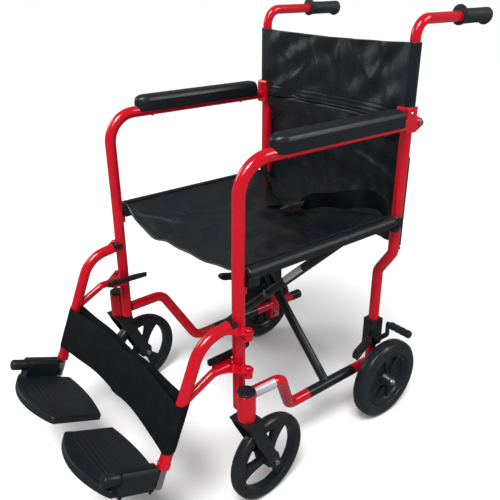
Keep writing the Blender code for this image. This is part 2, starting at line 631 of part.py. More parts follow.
def footplate():
    """D-shaped plate with a barrel and skirt that turn on the stem's rod."""
    outer = ROD_X + 0.004
    span = outer - PLATE_INNER_X
    outline = []
    for k in range(9):                       # rear edge bows backwards
        u = k / 8
        outline.append((PLATE_INNER_X + span * u, -0.010 - 0.013 * math.sin(math.pi * u) ** 0.8))
    for k in range(11):                      # front edge bows forwards
        u = 1 - k / 10
        outline.append((PLATE_INNER_X + span * u, 0.099 + 0.034 * math.sin(math.pi * u) ** 0.75))
    deck = prism([plate_point(x, f, PLATE_LEVEL) for x, f in outline], DOWN, PLATE_THICK)
    half = ROD_R + 0.0055
    section = [(-half, PLATE_LEVEL - 0.005), (-half, 0.008), (-half + 0.006, half), (half - 0.006, half),
               (half, 0.008), (half, -0.032), (half - 0.006, -0.032), (half - 0.010, PLATE_LEVEL - 0.006)]
    rear, front = HANGER_R + 0.002, CAP_FROM - GAP
    barrel = prism([plate_point(ROD_X + x, rear, lift) for x, lift in section], FORE, front - rear)
    hole = sweep([plate_point(ROD_X, -0.03), plate_point(ROD_X, 0.16)], ROD_R + RUN, 16)
    x0, x1 = HANGER_X - STEM_R - 0.006, HANGER_X + 0.05
    notch = rear + 0.003
    corner = prism([plate_point(x0, -0.04, 0.05), plate_point(x1, -0.04, 0.05),
                    plate_point(x1, notch, 0.05), plate_point(x0, notch, 0.05)], DOWN, 0.12)
    return minus(union(minus(deck, corner), barrel), hole)


# ---------------------------------------------------------------- the folding back
def cane():
    """Upper back tube: a pivot lug at its foot, a bend at its head and the handle's core."""
    foot = CAST_BOTTOM + 0.008 + GAP
    path = rounded([(POST_X, POST_Y, foot), (POST_X, POST_Y, CANE_TOP),
                    (POST_X, GRIP_END - 0.010, CANE_TOP)], CANE_BEND_R, 8)
    half = 0.009
    outline = capsule((POST_Y, BACK_PIVOT_Z), (BACK_PIVOT_Y, BACK_PIVOT_Z), 0.0085)
    ear = prism(side_view(outline, POST_X - half), (1, 0, 0), 2 * half)
    hole = rod((POST_X - 0.03, BACK_PIVOT_Y, BACK_PIVOT_Z), (POST_X + 0.03, BACK_PIVOT_Y, BACK_PIVOT_Z),
               0.004 + RUN, 12)
    return minus(union(sweep(path, CANE_R), ear), hole)


def grip():
    """Rubber grip with a thumb rest rising from its front end and a hook under its rear end."""
    def at(y, lift=0.0):
        return Vector((POST_X, y, CANE_TOP + lift))
    ys = (GRIP_FRONT, GRIP_END - 0.006, GRIP_END)
    body = sweep([at(y) for y in ys], [GRIP_R, GRIP_R, GRIP_R - 0.005], 16)
    lobe = sweep([at(GRIP_FRONT - 0.001, 0.004), at(GRIP_FRONT + 0.005, 0.004), at(GRIP_FRONT + 0.012, 0.001)],
                 [0.0185, 0.0185, GRIP_R - 0.001], 16)
    hook = rod(at(GRIP_END - 0.026, -0.004), at(GRIP_END - 0.001, -0.004), GRIP_R - 0.001, 14)
    core = rod(at(GRIP_FRONT - 0.05), at(GRIP_END - 0.0097), CANE_R + GAP, 24)
    return minus(union(body, lobe, hook), core)


def back_lever():
    """Pivot bolt of the back, with its nut outboard and its lock lever inboard."""
    half = TUBE_R + GAP + CAST_WALL + GAP
    a, b = POST_X - half, POST_X + half
    y, z = BACK_PIVOT_Y, BACK_PIVOT_Z
    bolt = rod((a - 0.003, y, z), (b + 0.004, y, z), 0.004)
    nut = rod((b, y, z), (b + 0.005, y, z), 0.007, 6)
    arm = capsule((y, z), (y + 0.030, z - 0.008), 0.0060)
    lever = prism(side_view(arm, a - 0.006), (1, 0, 0), 0.006)
    return union(bolt, nut, lever)


# ---------------------------------------------------------------- cross brace, seat and soft goods
def cross_leg(side, y):
    """One brace leg: a sleeve on the rail of one side and the seat rail of the other."""
    low = Vector((side * LOW_X, 0, LOW_Z))
    high = Vector((-side * SEAT_X, 0, SEAT_Z))
    shift = Vector((0, y, 0))
    lean = (high - low).normalized()
    leg = rod(low + shift + lean * 0.006, high + shift - lean * 0.004, SMALL_TUBE_R, 14)
    sleeve = rod(low + Vector((0, SLEEVE_FRONT, 0)), low + Vector((0, SLEEVE_REAR, 0)), TUBE_R, 20)
    rail = rod(high + Vector((0, SEAT_FRONT, 0)), high + Vector((0, SEAT_REAR, 0)), SMALL_TUBE_R, 14)
    bore = rod(low + Vector((0, SLEEVE_FRONT - 0.01, 0)), low + Vector((0, SLEEVE_REAR + 0.01, 0)),
               JOURNAL_R + RUN, 20)
    centre = low + (high - low) * (LOW_X / (LOW_X + SEAT_X))
    bolt = rod(centre + Vector((0, LEG_B_Y - 0.03, 0)), centre + Vector((0, LEG_A_Y + 0.03, 0)),
               0.004 + GAP, 12)
    return minus(union(leg, sleeve, rail), bore, bolt)


CENTRE_Z = LOW_Z + (SEAT_Z - LOW_Z) * LOW_X / (LOW_X + SEAT_X)


def centre_bolt():
    """Bolt that joins the two legs where they cross."""
    y0, y1 = LEG_B_Y - SMALL_TUBE_R - GAP, LEG_A_Y + SMALL_TUBE_R + GAP
    shank = rod((0, y0 - 0.004, CENTRE_Z), (0, y1 + 0.004, CENTRE_Z), 0.004, 12)
    head = rod((0, y0 - 0.005, CENTRE_Z), (0, y0, CENTRE_Z), 0.0075, 6)
    nut = rod((0, y1, CENTRE_Z), (0, y1 + 0.006, CENTRE_Z), 0.0075, 6)
    return union(shank, head, nut)


def sling(across, sag, low, high, thickness, level, steps=10):
    """A sheet that hangs between two edges: across gives (x, drop) and low/high its ends."""
    bm = bmesh.new()
    rows = []
    for end in (low, high):
        row = []
        for k in range(steps + 1):
            u = -1 + 2 * k / steps
            drop = sag * (1 - u * u)
            row.append((level(across * u, end, drop), level(across * u, end, drop + thickness)))
        rows.append([(bm.verts.new(a), bm.verts.new(b)) for a, b in row])
    near, far = rows
    for k in range(steps):
        (a, b), (c, d) = near[k], near[k + 1]
        (e, f), (g, h) = far[k], far[k + 1]
        for quad in ((a, c, g, e), (b, f, h, d), (a, b, d, c), (e, g, h, f)):
            bm.faces.new(quad)
    for k in (0, steps):
        (a, b), (e, f) = near[k], far[k]
        bm.faces.new((a, e, f, b) if k == 0 else (a, b, f, e))
    return bm


def seat():
    """Seat sling between the two seat rails."""
    top = SEAT_Z + 0.009
    half = SEAT_X - SMALL_TUBE_R - 0.001
    return sling(half, SEAT_SAG, SEAT_FRONT + 0.002, SEAT_REAR - 0.006, SEAT_T,
                 lambda x, y, d: Vector((x, y, top - d)))


def back_panel(low, high, y0):
    """Back panel between the two posts, bowed a little to the rear."""
    half = POST_X - TUBE_R - 0.006
    return sling(half, 0.012, low, high, 0.004, lambda x, z, d: Vector((x, y0 + d, z)))


def strap_line(level):
    """Point on the hanger tube's axis at a height."""
    t = (HANGER_END.z - level) / DOWN.z
    return HANGER_END.y - DOWN.y * t


def calf_strap():
    """Half of the calf strap, from round the hanger tube to the middle."""
    z0, z1 = STRAP_MID_Z - STRAP_HALF_Z, STRAP_MID_Z + STRAP_HALF_Z
    x0, x1 = 0.0006, HANGER_X - HANGER_R - 0.002
    corners = []
    for z in (z0, z1):
        y = strap_line(z)
        corners.append([Vector((x0, y + 0.006, z)), Vector((x1, y, z)), Vector((x1, y + STRAP_T, z)),
                        Vector((x0, y + 0.006 + STRAP_T, z))])
    bm = bmesh.new()
    low, high = [[bm.verts.new(p) for p in ring] for ring in corners]
    for k in range(4):
        n = (k + 1) % 4
        bm.faces.new((low[k], low[n], high[n], high[k]))
    bm.faces.new(low[::-1])
    bm.faces.new(high)
    return bm


def lap_belt():
    """Half of the lap belt, from the rear corner of the seat to the buckle on the sitter's side."""
    w, z = SEAT_X - 0.012, SEAT_Z
    path = [(w, 0.236, z + 0.021), (0.76 * w, 0.205, z + 0.045), (0.45 * w, 0.160, z + 0.035),
            (0.20 * w, 0.128, z + 0.013), (0.016, 0.112, z)]
    half, thick = 0.020, 0.003
    bm = bmesh.new()
    rows = []
    for k, p in enumerate(path):
        here = Vector(p)
        ahead = Vector(path[min(k + 1, 4)]) - Vector(path[max(k - 1, 0)])
        across = Vector((-ahead.y, ahead.x, 0)).normalized() * half
        rows.append([bm.verts.new(here + across * s + Vector((0, 0, h)))
                     for s, h in ((-1, 0), (1, 0), (1, thick), (-1, thick))])
    for one, two in zip(rows, rows[1:]):
        for k in range(4):
            n = (k + 1) % 4
            bm.faces.new((one[k], one[n], two[n], two[k]))
    bm.faces.new(rows[0][::-1])
    bm.faces.new(rows[-1])
    return bm


# ---------------------------------------------------------------- assembly
def clear_scene():
    for obj in list(bpy.data.objects):
        bpy.data.objects.remove(obj)


SIDE_PIECES = [
    ("side_tube", side_tube, "red_paint", None),
    ("lower_rail", lower_rail, "red_paint", None),
    ("rear_post", rear_post, "red_paint", None),
    ("hinge_casting", hinge_casting, "red_paint", None),
    ("caster_housing", caster_housing, "red_paint", None),
    ("housing_cap", housing_cap, "black_plastic", None),
    ("seat_cradle", seat_cradle, "black_plastic", None),
    ("arm_pad", arm_pad, "black_plastic", None),
    ("rear_axle", rear_axle, "zinc", None),
    ("rear_wheel", rear_wheel, "black_plastic", (REAR_X, REAR_Y, REAR_R)),
    ("rear_tyre", rear_tyre, "tyre", (REAR_X, REAR_Y, REAR_R)),
    ("brake_bracket", brake_bracket, "black_paint", None),
    ("brake_handle", brake_handle, "black_paint", (HANDLE_X, *HANDLE_PIVOT)),
    ("brake_shoe", brake_shoe, "black_plastic", (SHOE_ARM_X, *SHOE_PIVOT)),
    ("caster_fork", caster_fork, "black_paint", (HOUSING_X, HOUSING_Y, HOUSING_BOTTOM)),
    ("caster_wheel", caster_wheel, "tyre", (HOUSING_X, WHEEL_Y, CASTER_R)),
    ("caster_axle", caster_axle, "zinc", (HOUSING_X, WHEEL_Y, CASTER_R)),
    ("hanger", hanger, "red_paint", (PIN_X, PIN_Y, PLATE_Z["lower"])),
    ("hanger_bumper", hanger_bumper, "black_plastic", (PIN_X, PIN_Y, PLATE_Z["lower"])),
    ("release_lever", release_lever, "black_plastic", (LEVER_X, LEVER_Y, PLATE_Z["lower"])),
    ("footrest_stem", footrest_stem, "chrome", tuple(HANGER_END)),
    ("footplate", footplate, "black_plastic", tuple(ROD_BASE)),
    ("cane", cane, "red_paint", (POST_X, BACK_PIVOT_Y, BACK_PIVOT_Z)),
    ("grip", grip, "grip_rubber", (POST_X, BACK_PIVOT_Y, BACK_PIVOT_Z)),
    ("back_lever", back_lever, "zinc", (POST_X, BACK_PIVOT_Y, BACK_PIVOT_Z)),
    ("calf_strap", calf_strap, "webbing", None),
    ("lap_belt", lap_belt, "webbing", None),
]
CASTER_PIECES = ("caster_fork", "caster_wheel", "caster_axle")


def build_side(side):
    sign = 1 if side == "left" else -1
    for name, make, finish, origin in SIDE_PIECES:
        bm = make()
        origin = Vector(origin or (0, 0, 0))
        if sign < 0:
            bmesh.ops.scale(bm, vec=(-1, 1, 1), verts=bm.verts)
            origin.x = -origin.x
        if name in CASTER_PIECES:
            pivot = Matrix.Translation((sign * HOUSING_X, HOUSING_Y, 0))
            swivel = pivot @ Matrix.Rotation(math.radians(TURN_DEG), 4, "Z") @ pivot.inverted()
            shifted(bm, swivel)
            origin = swivel @ origin
        node(name + "_" + side, bm, finish, origin)


def build_middle():
    node("cross_leg_a", cross_leg(1, LEG_A_Y), "black_paint", (LOW_X, LEG_A_Y, LOW_Z))
    node("cross_leg_b", cross_leg(-1, LEG_B_Y), "black_paint", (0, LEG_B_Y, CENTRE_Z))
    node("centre_bolt", centre_bolt(), "zinc", (0, LEG_B_Y, CENTRE_Z))
    node("seat", seat(), "nylon", (-SEAT_X, 0, SEAT_Z))
    node("back_upper", back_panel(BACK_PIVOT_Z + 0.001, CANE_TOP - 0.042, POST_Y + 0.004), "nylon",
         (0, BACK_PIVOT_Y, BACK_PIVOT_Z))
    node("back_lower", back_panel(POST_JOG_TOP + 0.016, BACK_PIVOT_Z - 0.001, POST_Y + 0.004), "nylon")


def centre_over_origin():
    """Move everything so that the origin lies under the middle of the chair's width and length."""
    for axis in (0, 1):
        ends = [obj.location[axis] + vert.co[axis] for obj in bpy.data.objects
                for vert in obj.data.vertices]
        middle = (min(ends) + max(ends)) / 2
        for obj in bpy.data.objects:
            obj.location[axis] -= middle


clear_scene()
build_side("left")
build_side("right")
build_middle()
centre_over_origin()
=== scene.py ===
"""Looks of a folding transit wheelchair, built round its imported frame. Metres, +Z up, the chair faces -Y."""

import json
import math

import bmesh
import bpy
import numpy as np
from mathutils import Matrix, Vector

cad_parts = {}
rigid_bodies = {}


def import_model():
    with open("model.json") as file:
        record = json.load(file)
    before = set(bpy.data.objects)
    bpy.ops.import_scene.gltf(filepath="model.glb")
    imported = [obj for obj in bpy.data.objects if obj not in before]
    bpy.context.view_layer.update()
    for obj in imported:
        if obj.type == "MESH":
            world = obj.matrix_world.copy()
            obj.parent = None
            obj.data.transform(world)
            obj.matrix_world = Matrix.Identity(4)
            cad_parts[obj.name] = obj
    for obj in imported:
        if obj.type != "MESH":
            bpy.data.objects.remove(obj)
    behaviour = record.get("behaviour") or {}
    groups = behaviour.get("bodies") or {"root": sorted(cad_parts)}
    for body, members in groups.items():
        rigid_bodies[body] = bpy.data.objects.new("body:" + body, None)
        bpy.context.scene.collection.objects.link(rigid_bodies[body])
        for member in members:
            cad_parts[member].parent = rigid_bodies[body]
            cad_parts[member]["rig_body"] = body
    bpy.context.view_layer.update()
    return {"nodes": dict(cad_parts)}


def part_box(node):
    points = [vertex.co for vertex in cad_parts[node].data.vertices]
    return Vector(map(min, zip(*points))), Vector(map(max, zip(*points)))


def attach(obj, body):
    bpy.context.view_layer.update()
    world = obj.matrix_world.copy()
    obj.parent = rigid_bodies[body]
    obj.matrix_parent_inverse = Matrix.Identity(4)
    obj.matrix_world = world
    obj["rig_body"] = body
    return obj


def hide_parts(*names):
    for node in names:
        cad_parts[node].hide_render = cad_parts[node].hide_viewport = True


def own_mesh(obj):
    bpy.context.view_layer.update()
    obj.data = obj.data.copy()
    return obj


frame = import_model()

bl_info = {
    "name": "Transit wheelchair looks",
    "version": (1, 0, 0),
    "blender": (4, 5, 0),
    "location": "View3D > Sidebar > Wheelchair",
    "description": "Builds the painted tubes, upholstery, wheels and fittings of a folding wheelchair",
    "category": "Object",
}


def middle(node):
    """The middle of a frame node's box."""
    low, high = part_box(node)
    return (np.array(low) + np.array(high)) / 2


# ------------------------------------------------------------------ sizes, in the chair's own layout
REAR_Y = 0.263               # rear axle
ORIGIN = np.array([middle("seat")[0], middle("rear_wheel_left")[1] - REAR_Y, 0.0])
TUBE_R, SMALL_R, CANE_R = 0.0127, 0.0110, 0.0110    # frame tube, brace and seat rail, cane of the back
TUBE_BEND, JOURNAL_R = 0.030, 0.0088                # bends of rail and post, rail inside the brace's sleeve
UPRIGHT_X, UPRIGHT_Y, UPRIGHT_BOTTOM = 0.235, -0.200, 0.243
ARM_X, ARM_Z, ARM_BEND = 0.2395, 0.7555, 0.066
POST_X, POST_Y, JOG_TOP, JOG_LOW = 0.230, 0.262, 0.452, 0.392
LOW_X, LOW_Z, RAIL_Z = 0.191, 0.131, 0.262
SLEEVE_FRONT, SLEEVE_REAR, TIP_END = 0.040, 0.195, 0.372
BOOT_LENGTH, BOOT_R = 0.040, 0.0138                 # moulded boot on the tipping end
# ends of the level stretch between the upright and the step down of the lower rail
SHELF_ENDS = np.array([(UPRIGHT_X + 0.002, UPRIGHT_Y + 0.013, RAIL_Z),
                       (UPRIGHT_X + 0.005, UPRIGHT_Y + 0.108, RAIL_Z)])
SEAT_X, SEAT_Z, SEAT_FRONT, SEAT_REAR = 0.236, 0.535, -0.184, 0.245
LEG_Y = {"a": 0.1035, "b": 0.0805}                  # the brace legs pass one behind the other
HOUSING_X, HOUSING_Y, HOUSING_BOTTOM = 0.267, -0.207, 0.235
CASTER_R, CASTER_HALF, CASTER_Y, CASTER_TURN = 0.100, 0.015, -0.146, math.radians(5)
REAR_R, REAR_HALF, REAR_RIM, REAR_X = 0.105, 0.0195, 0.0715, 0.243
CANE_TOP, CANE_BEND, GRIP_FRONT, GRIP_END, GRIP_R = 0.9635, 0.036, 0.404, 0.514, 0.0148
BACK_Y, BACK_Z, CAST_BOTTOM, CAST_FRONT = 0.2865, 0.7555, 0.7365, 0.243
HANGER_X, HANGER_R, PIN_X, PIN_Y = 0.233, 0.012, 0.267, -0.202
PLATE_UPPER, PLATE_LOWER, PLATE_T = 0.432, 0.347, 0.004
RAKE = math.radians(22)      # lean of the hanger; DOWN points down along it, FORE forwards across it
DOWN = np.array([0.0, -math.sin(RAKE), -math.cos(RAKE)])
FORE = np.array([0.0, -math.cos(RAKE), math.sin(RAKE)])
HANGER_END = np.array([HANGER_X, -0.384, 0.187])
STEM_R, STEM_IN, ROD_X, ROD_R = 0.0095, 0.118, 0.228, 0.0095
ROD_BASE = np.array([ROD_X, HANGER_END[1], HANGER_END[2]]) + DOWN * (STEM_R + 0.0015)
PAD_HALF, PAD_FRONT, PAD_REAR, PAD_TOP, PAD_BOTTOM = 0.0225, -0.128, 0.221, 0.7915, 0.756
X_AXIS, Y_AXIS, Z_AXIS = np.eye(3)
HAIRLINE = 0.0003            # gap between two pieces that meet, so that they share no face
SLEEVE_CLOTH = 0.0022        # cloth's middle surface outside the rail or cane it is sleeved on
SMOOTH_BELOW, BEVEL_ABOVE = 38.0, 40.0   # degrees between faces: shaded smooth below, bevelled above
FLOOR_REACH = 60.0           # floor's half width
CAMERA_LENS = 43.83          # millimetres on a 36 mm wide sensor
CAMERA_AZIMUTH, CAMERA_ELEVATION = math.radians(51.05), math.radians(24.28)
CAMERA_PLACE = np.array([1.0277, -0.8127, 1.0427]) + ORIGIN
# creases in the cloth: start across, start along, heading in degrees, length, width, height
SEAT_FOLDS = ((-0.21, -0.17, 35, 0.16, 0.006, 0.0035), (-0.19, -0.10, 20, 0.14, 0.005, 0.0028),
              (-0.17, -0.15, 62, 0.20, 0.007, 0.0030), (-0.05, -0.17, 80, 0.16, 0.006, 0.0026),
              (0.20, -0.14, 140, 0.12, 0.006, 0.0028), (0.19, 0.02, 165, 0.14, 0.005, 0.0022),
              (0.12, -0.16, 100, 0.18, 0.007, 0.0026), (-0.20, 0.12, -15, 0.13, 0.005, 0.0022))
BACK_FOLDS = ((-0.20, 0.91, -50, 0.09, 0.004, 0.0030), (-0.06, 0.915, -75, 0.10, 0.005, 0.0036),
              (0.03, 0.92, -100, 0.12, 0.004, 0.0034), (0.08, 0.90, -60, 0.09, 0.004, 0.0030),
              (0.18, 0.91, -125, 0.10, 0.005, 0.0034), (-0.14, 0.80, 40, 0.09, 0.005, 0.0026),
              (0.12, 0.70, -75, 0.14, 0.006, 0.0030), (-0.03, 0.69, -85, 0.16, 0.006, 0.0026),
              (0.19, 0.62, 160, 0.13, 0.006, 0.0028), (-0.18, 0.60, 20, 0.14, 0.006, 0.0026))
SIDES = (("left", 1), ("right", -1))


# ------------------------------------------------------------------ surfaces worked out as arrays
def grid_faces(rows, cols, wrap_rows=False, wrap_cols=False):
    """Quads that join each point of a grid to the next along the row and the next along the column."""
    i = np.arange(rows if wrap_rows else rows - 1)[:, None]
    j = np.arange(cols if wrap_cols else cols - 1)[None, :]
    down, right = (i + 1) % rows, (j + 1) % cols
    quads = [i * cols + j, i * cols + right, down * cols + right, down * cols + j]
    return np.stack(np.broadcast_arrays(*quads), -1).reshape(-1, 4).tolist()


def rings(points, closed=False):
    """A skin through rings of points; each end is closed by one flat face unless the rings form a loop."""
    m, n = points.shape[:2]
    faces = grid_faces(m, n, closed, True)
    if not closed:
        faces += [list(range(n))[::-1], list(range((m - 1) * n, m * n))]
    return points.reshape(-1, 3), faces


def slab(top, bottom):
    """A closed slab between two grids of points that lie over each other."""
    m, n = top.shape[:2]
    over = np.array(grid_faces(m, n))
    edge = np.concatenate([np.arange(n), np.arange(1, m) * n + n - 1,
                           (m - 1) * n + np.arange(n - 1)[::-1], np.arange(1, m - 1)[::-1] * n])
    ahead, size = np.roll(edge, -1), m * n
    sides = np.stack([edge, ahead, ahead + size, edge + size], -1)
    faces = np.concatenate([over, over[:, ::-1] + size, sides])
    return np.concatenate([top.reshape(-1, 3), bottom.reshape(-1, 3)]), faces.tolist()


def unit(v):
    """Vectors divided by their own length."""
    return v / np.linalg.norm(v, axis=-1, keepdims=True)


def bent(points, radius, step=math.radians(4)):
    """A polyline whose corners are arcs: each arc is the corner's circle, swept from one leg to the next."""
    pts = [np.array(p, float) for p in points]
    path = [pts[0][None]]
    for before, corner, after in zip(pts, pts[1:], pts[2:]):
        into, out = unit(corner - before), unit(after - corner)
        turn = math.acos(np.clip(into @ out, -1, 1))
        if turn > 1e-4:
            inward = unit(out - into * (into @ out))
            start = corner - into * radius * math.tan(turn / 2)
            a = np.linspace(0, turn, max(3, int(turn / step)))[:, None]
            path.append(start + into * radius * np.sin(a) + inward * radius * (1 - np.cos(a)))
    return np.concatenate(path + [pts[-1][None]])


def tube(path, radius, across=X_AXIS, sides=None):
    """A round rod: at each path point a circle of the radius, in the plane square to the path."""
    path = np.asarray(path, float)
    count = sides or bpy.context.scene.wheelchair_shape.tube_sides
    along = unit(np.gradient(path, axis=0) + 1e-12)
    side = unit(across - along * (along @ across)[:, None])
    up = np.cross(along, side)
    a = np.linspace(0, 2 * math.pi, count, endpoint=False)
    r = np.broadcast_to(radius, len(path))[:, None, None]
    circle = side[:, None] * np.cos(a)[None, :, None] + up[:, None] * np.sin(a)[None, :, None]
    return rings(path[:, None] + circle * r)


def rod(start, end, radius, edge=0.0008, sides=28):
    """A straight rod whose two rims are broken by a small chamfer."""
    start, end = np.array(start, float), np.array(end, float)
    along = unit(end - start)
    across = X_AXIS if abs(along[0]) < 0.8 else Y_AXIS
    path = np.array([start, start + along * edge, end - along * edge, end])
    return tube(path, np.array([radius - edge, radius, radius, radius - edge]), across, sides)


def lathe(profile, centre, steps=96):
    """A closed profile of (offset along X, radius) points carried once round the X axis."""
    p = np.array(profile, float)
    a = np.linspace(0, 2 * math.pi, steps, endpoint=False)[:, None]
    x = np.broadcast_to(p[:, 0], (steps, len(p)))
    points = np.stack([x, p[:, 1] * np.cos(a), p[:, 1] * np.sin(a)], -1)
    return rings(points + np.array(centre), closed=True)


def smooth_profile(points, radius, step=math.radians(15)):
    """A closed outline whose corners are rounded by arcs."""
    flat = [np.array([*p, 0.0]) for p in points]
    start = (flat[0] + flat[-1]) / 2
    return bent([start, *flat, start], radius, step)[:-1, :2]


def mirrored(half, middle=()):
    """A closed outline from its +X half: that half, any points on the middle line, then its mirror image."""
    other = [(-x, y) for x, y in reversed(half)]
    return [other[-1], *half, *middle, *other[:-1]]


def plate(outline, along, depth):
    """A flat outline of 3-D points carried a depth in one direction."""
    base = np.array(outline, float)
    return rings(np.stack([base, base + np.array(along) * depth]))


def capsule(a, b, radius, steps=12):
    """The outline of a bar with round ends: half a circle round each of two points."""
    a, b = np.array(a, float), np.array(b, float)
    heading = math.atan2(b[1] - a[1], b[0] - a[0])
    t = np.linspace(-math.pi / 2, math.pi / 2, steps) + heading
    half = np.stack([np.cos(t), np.sin(t)], -1) * radius
    return np.concatenate([b + half, a - half])


def lift(flat, plane, level):
    """Two-column points put on a plane square to the named axis at a level."""
    column = np.full((len(flat), 1), float(level))
    order = {"x": (column, flat), "z": (flat, column)}[plane]
    return np.concatenate(order, 1)


def block(low, high, edge=0.001):
    """A box between two corners, as a plate whose outline has small rounded corners."""
    (x0, y0, z0), (x1, y1, z1) = low, high
    outline = smooth_profile([(x0, y0), (x1, y0), (x1, y1), (x0, y1)], edge, math.radians(30))
    return plate(lift(outline, "z", z0), Z_AXIS, z1 - z0)


def dome(base, direction, radius, height):
    """A screw head: circles that shrink along a quarter of an ellipse."""
    t = np.linspace(0, math.pi / 2 * 0.96, 7)
    path = np.array(base, float) + unit(np.array(direction, float)) * (height * np.sin(t))[:, None]
    across = Y_AXIS if abs(direction[1]) < 0.7 * np.linalg.norm(direction) else X_AXIS
    return tube(path, radius * np.cos(t), across, 20)


def together(parts):
    """Several skins as one list of points and faces."""
    points, faces, start = [], [], 0
    for p, f in parts:
        points.append(p)
        faces += [[k + start for k in face] for face in f]
        start += len(p)
    return np.concatenate(points), faces


# ------------------------------------------------------------------ finishes
def socket(tree, name, way, kind, value=None):
    """One input or output of a node group."""
    item = tree.interface.new_socket(name=name, in_out=way, socket_type=kind)
    if value is not None:
        item.default_value = value


def wire(tree, *pairs):
    """Links each pair, from an output to an input."""
    for a, b in pairs:
        tree.links.new(a, b)


def math_node(tree, operation, a, b=None):
    """One sum of two values, each a number or an output."""
    n = tree.nodes.new("ShaderNodeMath")
    n.operation = operation
    for k, v in enumerate((a, b)):
        if isinstance(v, (int, float)):
            n.inputs[k].default_value = v
        elif v is not None:
            tree.links.new(v, n.inputs[k])
    return n.outputs[0]


def colour_mix(tree, factor, a, b):
    """Colour a fades to colour b as the factor goes from 0 to 1."""
    n = tree.nodes.new("ShaderNodeMix")
    n.data_type = "RGBA"
    wire(tree, (factor, n.inputs["Factor"]), (a, n.inputs[6]), (b, n.inputs[7]))
    return n.outputs[2]


def spread(tree, factor, edge, low=None, high=None):
    """Noise stretched from edge and 1 - edge, where most of it lies, to low and high, or to 0 and 1."""
    n = tree.nodes.new("ShaderNodeMapRange")
    n.inputs["From Min"].default_value, n.inputs["From Max"].default_value = edge, 1 - edge
    wire(tree, (factor, n.inputs["Value"]))
    if low is not None:
        wire(tree, (low, n.inputs["To Min"]), (high, n.inputs["To Max"]))
    return n.outputs["Result"]


def put_out(tree, use, out, tone, marks, height):
    """Ends a group: tone mixes the two colours, marks mix the two roughnesses, and height is passed on."""
    wire(tree, (colour_mix(tree, spread(tree, tone, 0.35), use["Tone A"], use["Tone B"]), out["Colour"]),
         (spread(tree, marks, 0.3, use["Rough Low"], use["Rough High"]), out["Roughness"]),
         (height, out["Height"]))
    return tree


def new_group(name, numbers):
    """A node group: a vector, its own numbers and two tones in, and colour, roughness and height out."""
    tree = bpy.data.node_groups.new(name, "ShaderNodeTree")
    socket(tree, "Vector", "INPUT", "NodeSocketVector")
    for label, value in numbers:
        socket(tree, label, "INPUT", "NodeSocketFloat", value)
    for label in ("Tone A", "Tone B"):
        socket(tree, label, "INPUT", "NodeSocketColor", (0.5, 0.5, 0.5, 1))
    for label, kind in (("Colour", "NodeSocketColor"), ("Roughness", "NodeSocketFloat"),
                        ("Height", "NodeSocketFloat")):
        socket(tree, label, "OUTPUT", kind)
    return tree, tree.nodes.new("NodeGroupInput").outputs, tree.nodes.new("NodeGroupOutput").inputs


def noise(tree, vector, scale, detail):
    """Noise over the vector, with its scale a number or an output."""
    n = tree.nodes.new("ShaderNodeTexNoise")
    n.inputs["Detail"].default_value = detail
    wire(tree, (vector, n.inputs["Vector"]))
    if isinstance(scale, (int, float)):
        n.inputs["Scale"].default_value = scale
    else:
        wire(tree, (scale, n.inputs["Scale"]))
    return n.outputs["Fac"]


def grain_group():
    """Moulded or painted skin: broad noise mixes two tones and two roughnesses, fine noise is the height."""
    tree, use, out = new_group("skin_grain",
                               [("Grain Scale", 900.0), ("Patch Scale", 14.0), ("Rough Low", 0.3),
                                              ("Rough High", 0.4)])
    patch = noise(tree, use["Vector"], use["Patch Scale"], 4.0)
    fine = noise(tree, use["Vector"], use["Grain Scale"], 2.0)
    dust = math_node(tree, "ADD", math_node(tree, "MULTIPLY", patch, 0.7),
                     math_node(tree, "MULTIPLY", fine, 0.3))
    return put_out(tree, use, out, patch, dust, fine)


def weave_group():
    """Plain weave: the product of two sine waves across the threads, with broad noise for handling marks."""
    tree, use, out = new_group("cloth_weave", [("Threads", 4200.0), ("Rough Low", 0.5), ("Rough High", 0.7)])
    split = tree.nodes.new("ShaderNodeSeparateXYZ")
    wire(tree, (use["Vector"], split.inputs[0]))
    waves = [math_node(tree, "SINE", math_node(tree, "MULTIPLY", split.outputs[k], use["Threads"]))
             for k in (0, 1)]
    cross = math_node(tree, "MULTIPLY", *waves)
    height = math_node(tree, "MULTIPLY_ADD", cross, 0.5)
    height.node.inputs[2].default_value = 0.5
    patch = noise(tree, use["Vector"], 22.0, 5.0)
    tone = math_node(tree, "ADD", math_node(tree, "MULTIPLY", height, 0.35),
                     math_node(tree, "MULTIPLY", patch, 0.7))
    return put_out(tree, use, out, tone, patch, height)


def ribs_group():
    """Webbing: rounded ribs that run along the strap, crossed by a fine herringbone wave."""
    tree, use, out = new_group("strap_ribs", [("Ribs", 3200.0), ("Rough Low", 0.6), ("Rough High", 0.8)])
    split = tree.nodes.new("ShaderNodeSeparateXYZ")
    wire(tree, (use["Vector"], split.inputs[0]))
    rib = math_node(tree, "ABSOLUTE",
                    math_node(tree, "SINE", math_node(tree, "MULTIPLY", split.outputs[1], use["Ribs"])))
    pick = math_node(tree, "SINE", math_node(tree, "MULTIPLY", split.outputs[0], use["Ribs"]))
    height = math_node(tree, "ADD", rib, math_node(tree, "MULTIPLY", pick, 0.25))
    patch = noise(tree, use["Vector"], 30.0, 3.0)
    return put_out(tree, use, out, patch, patch, height)


GROUPS = {}
FINISHES = {}
NUMBERS = {"skin_grain": ("Grain Scale", "Patch Scale", "Rough Low", "Rough High"),
           "cloth_weave": ("Threads", "Rough Low", "Rough High"),
           "strap_ribs": ("Ribs", "Rough Low", "Rough High")}
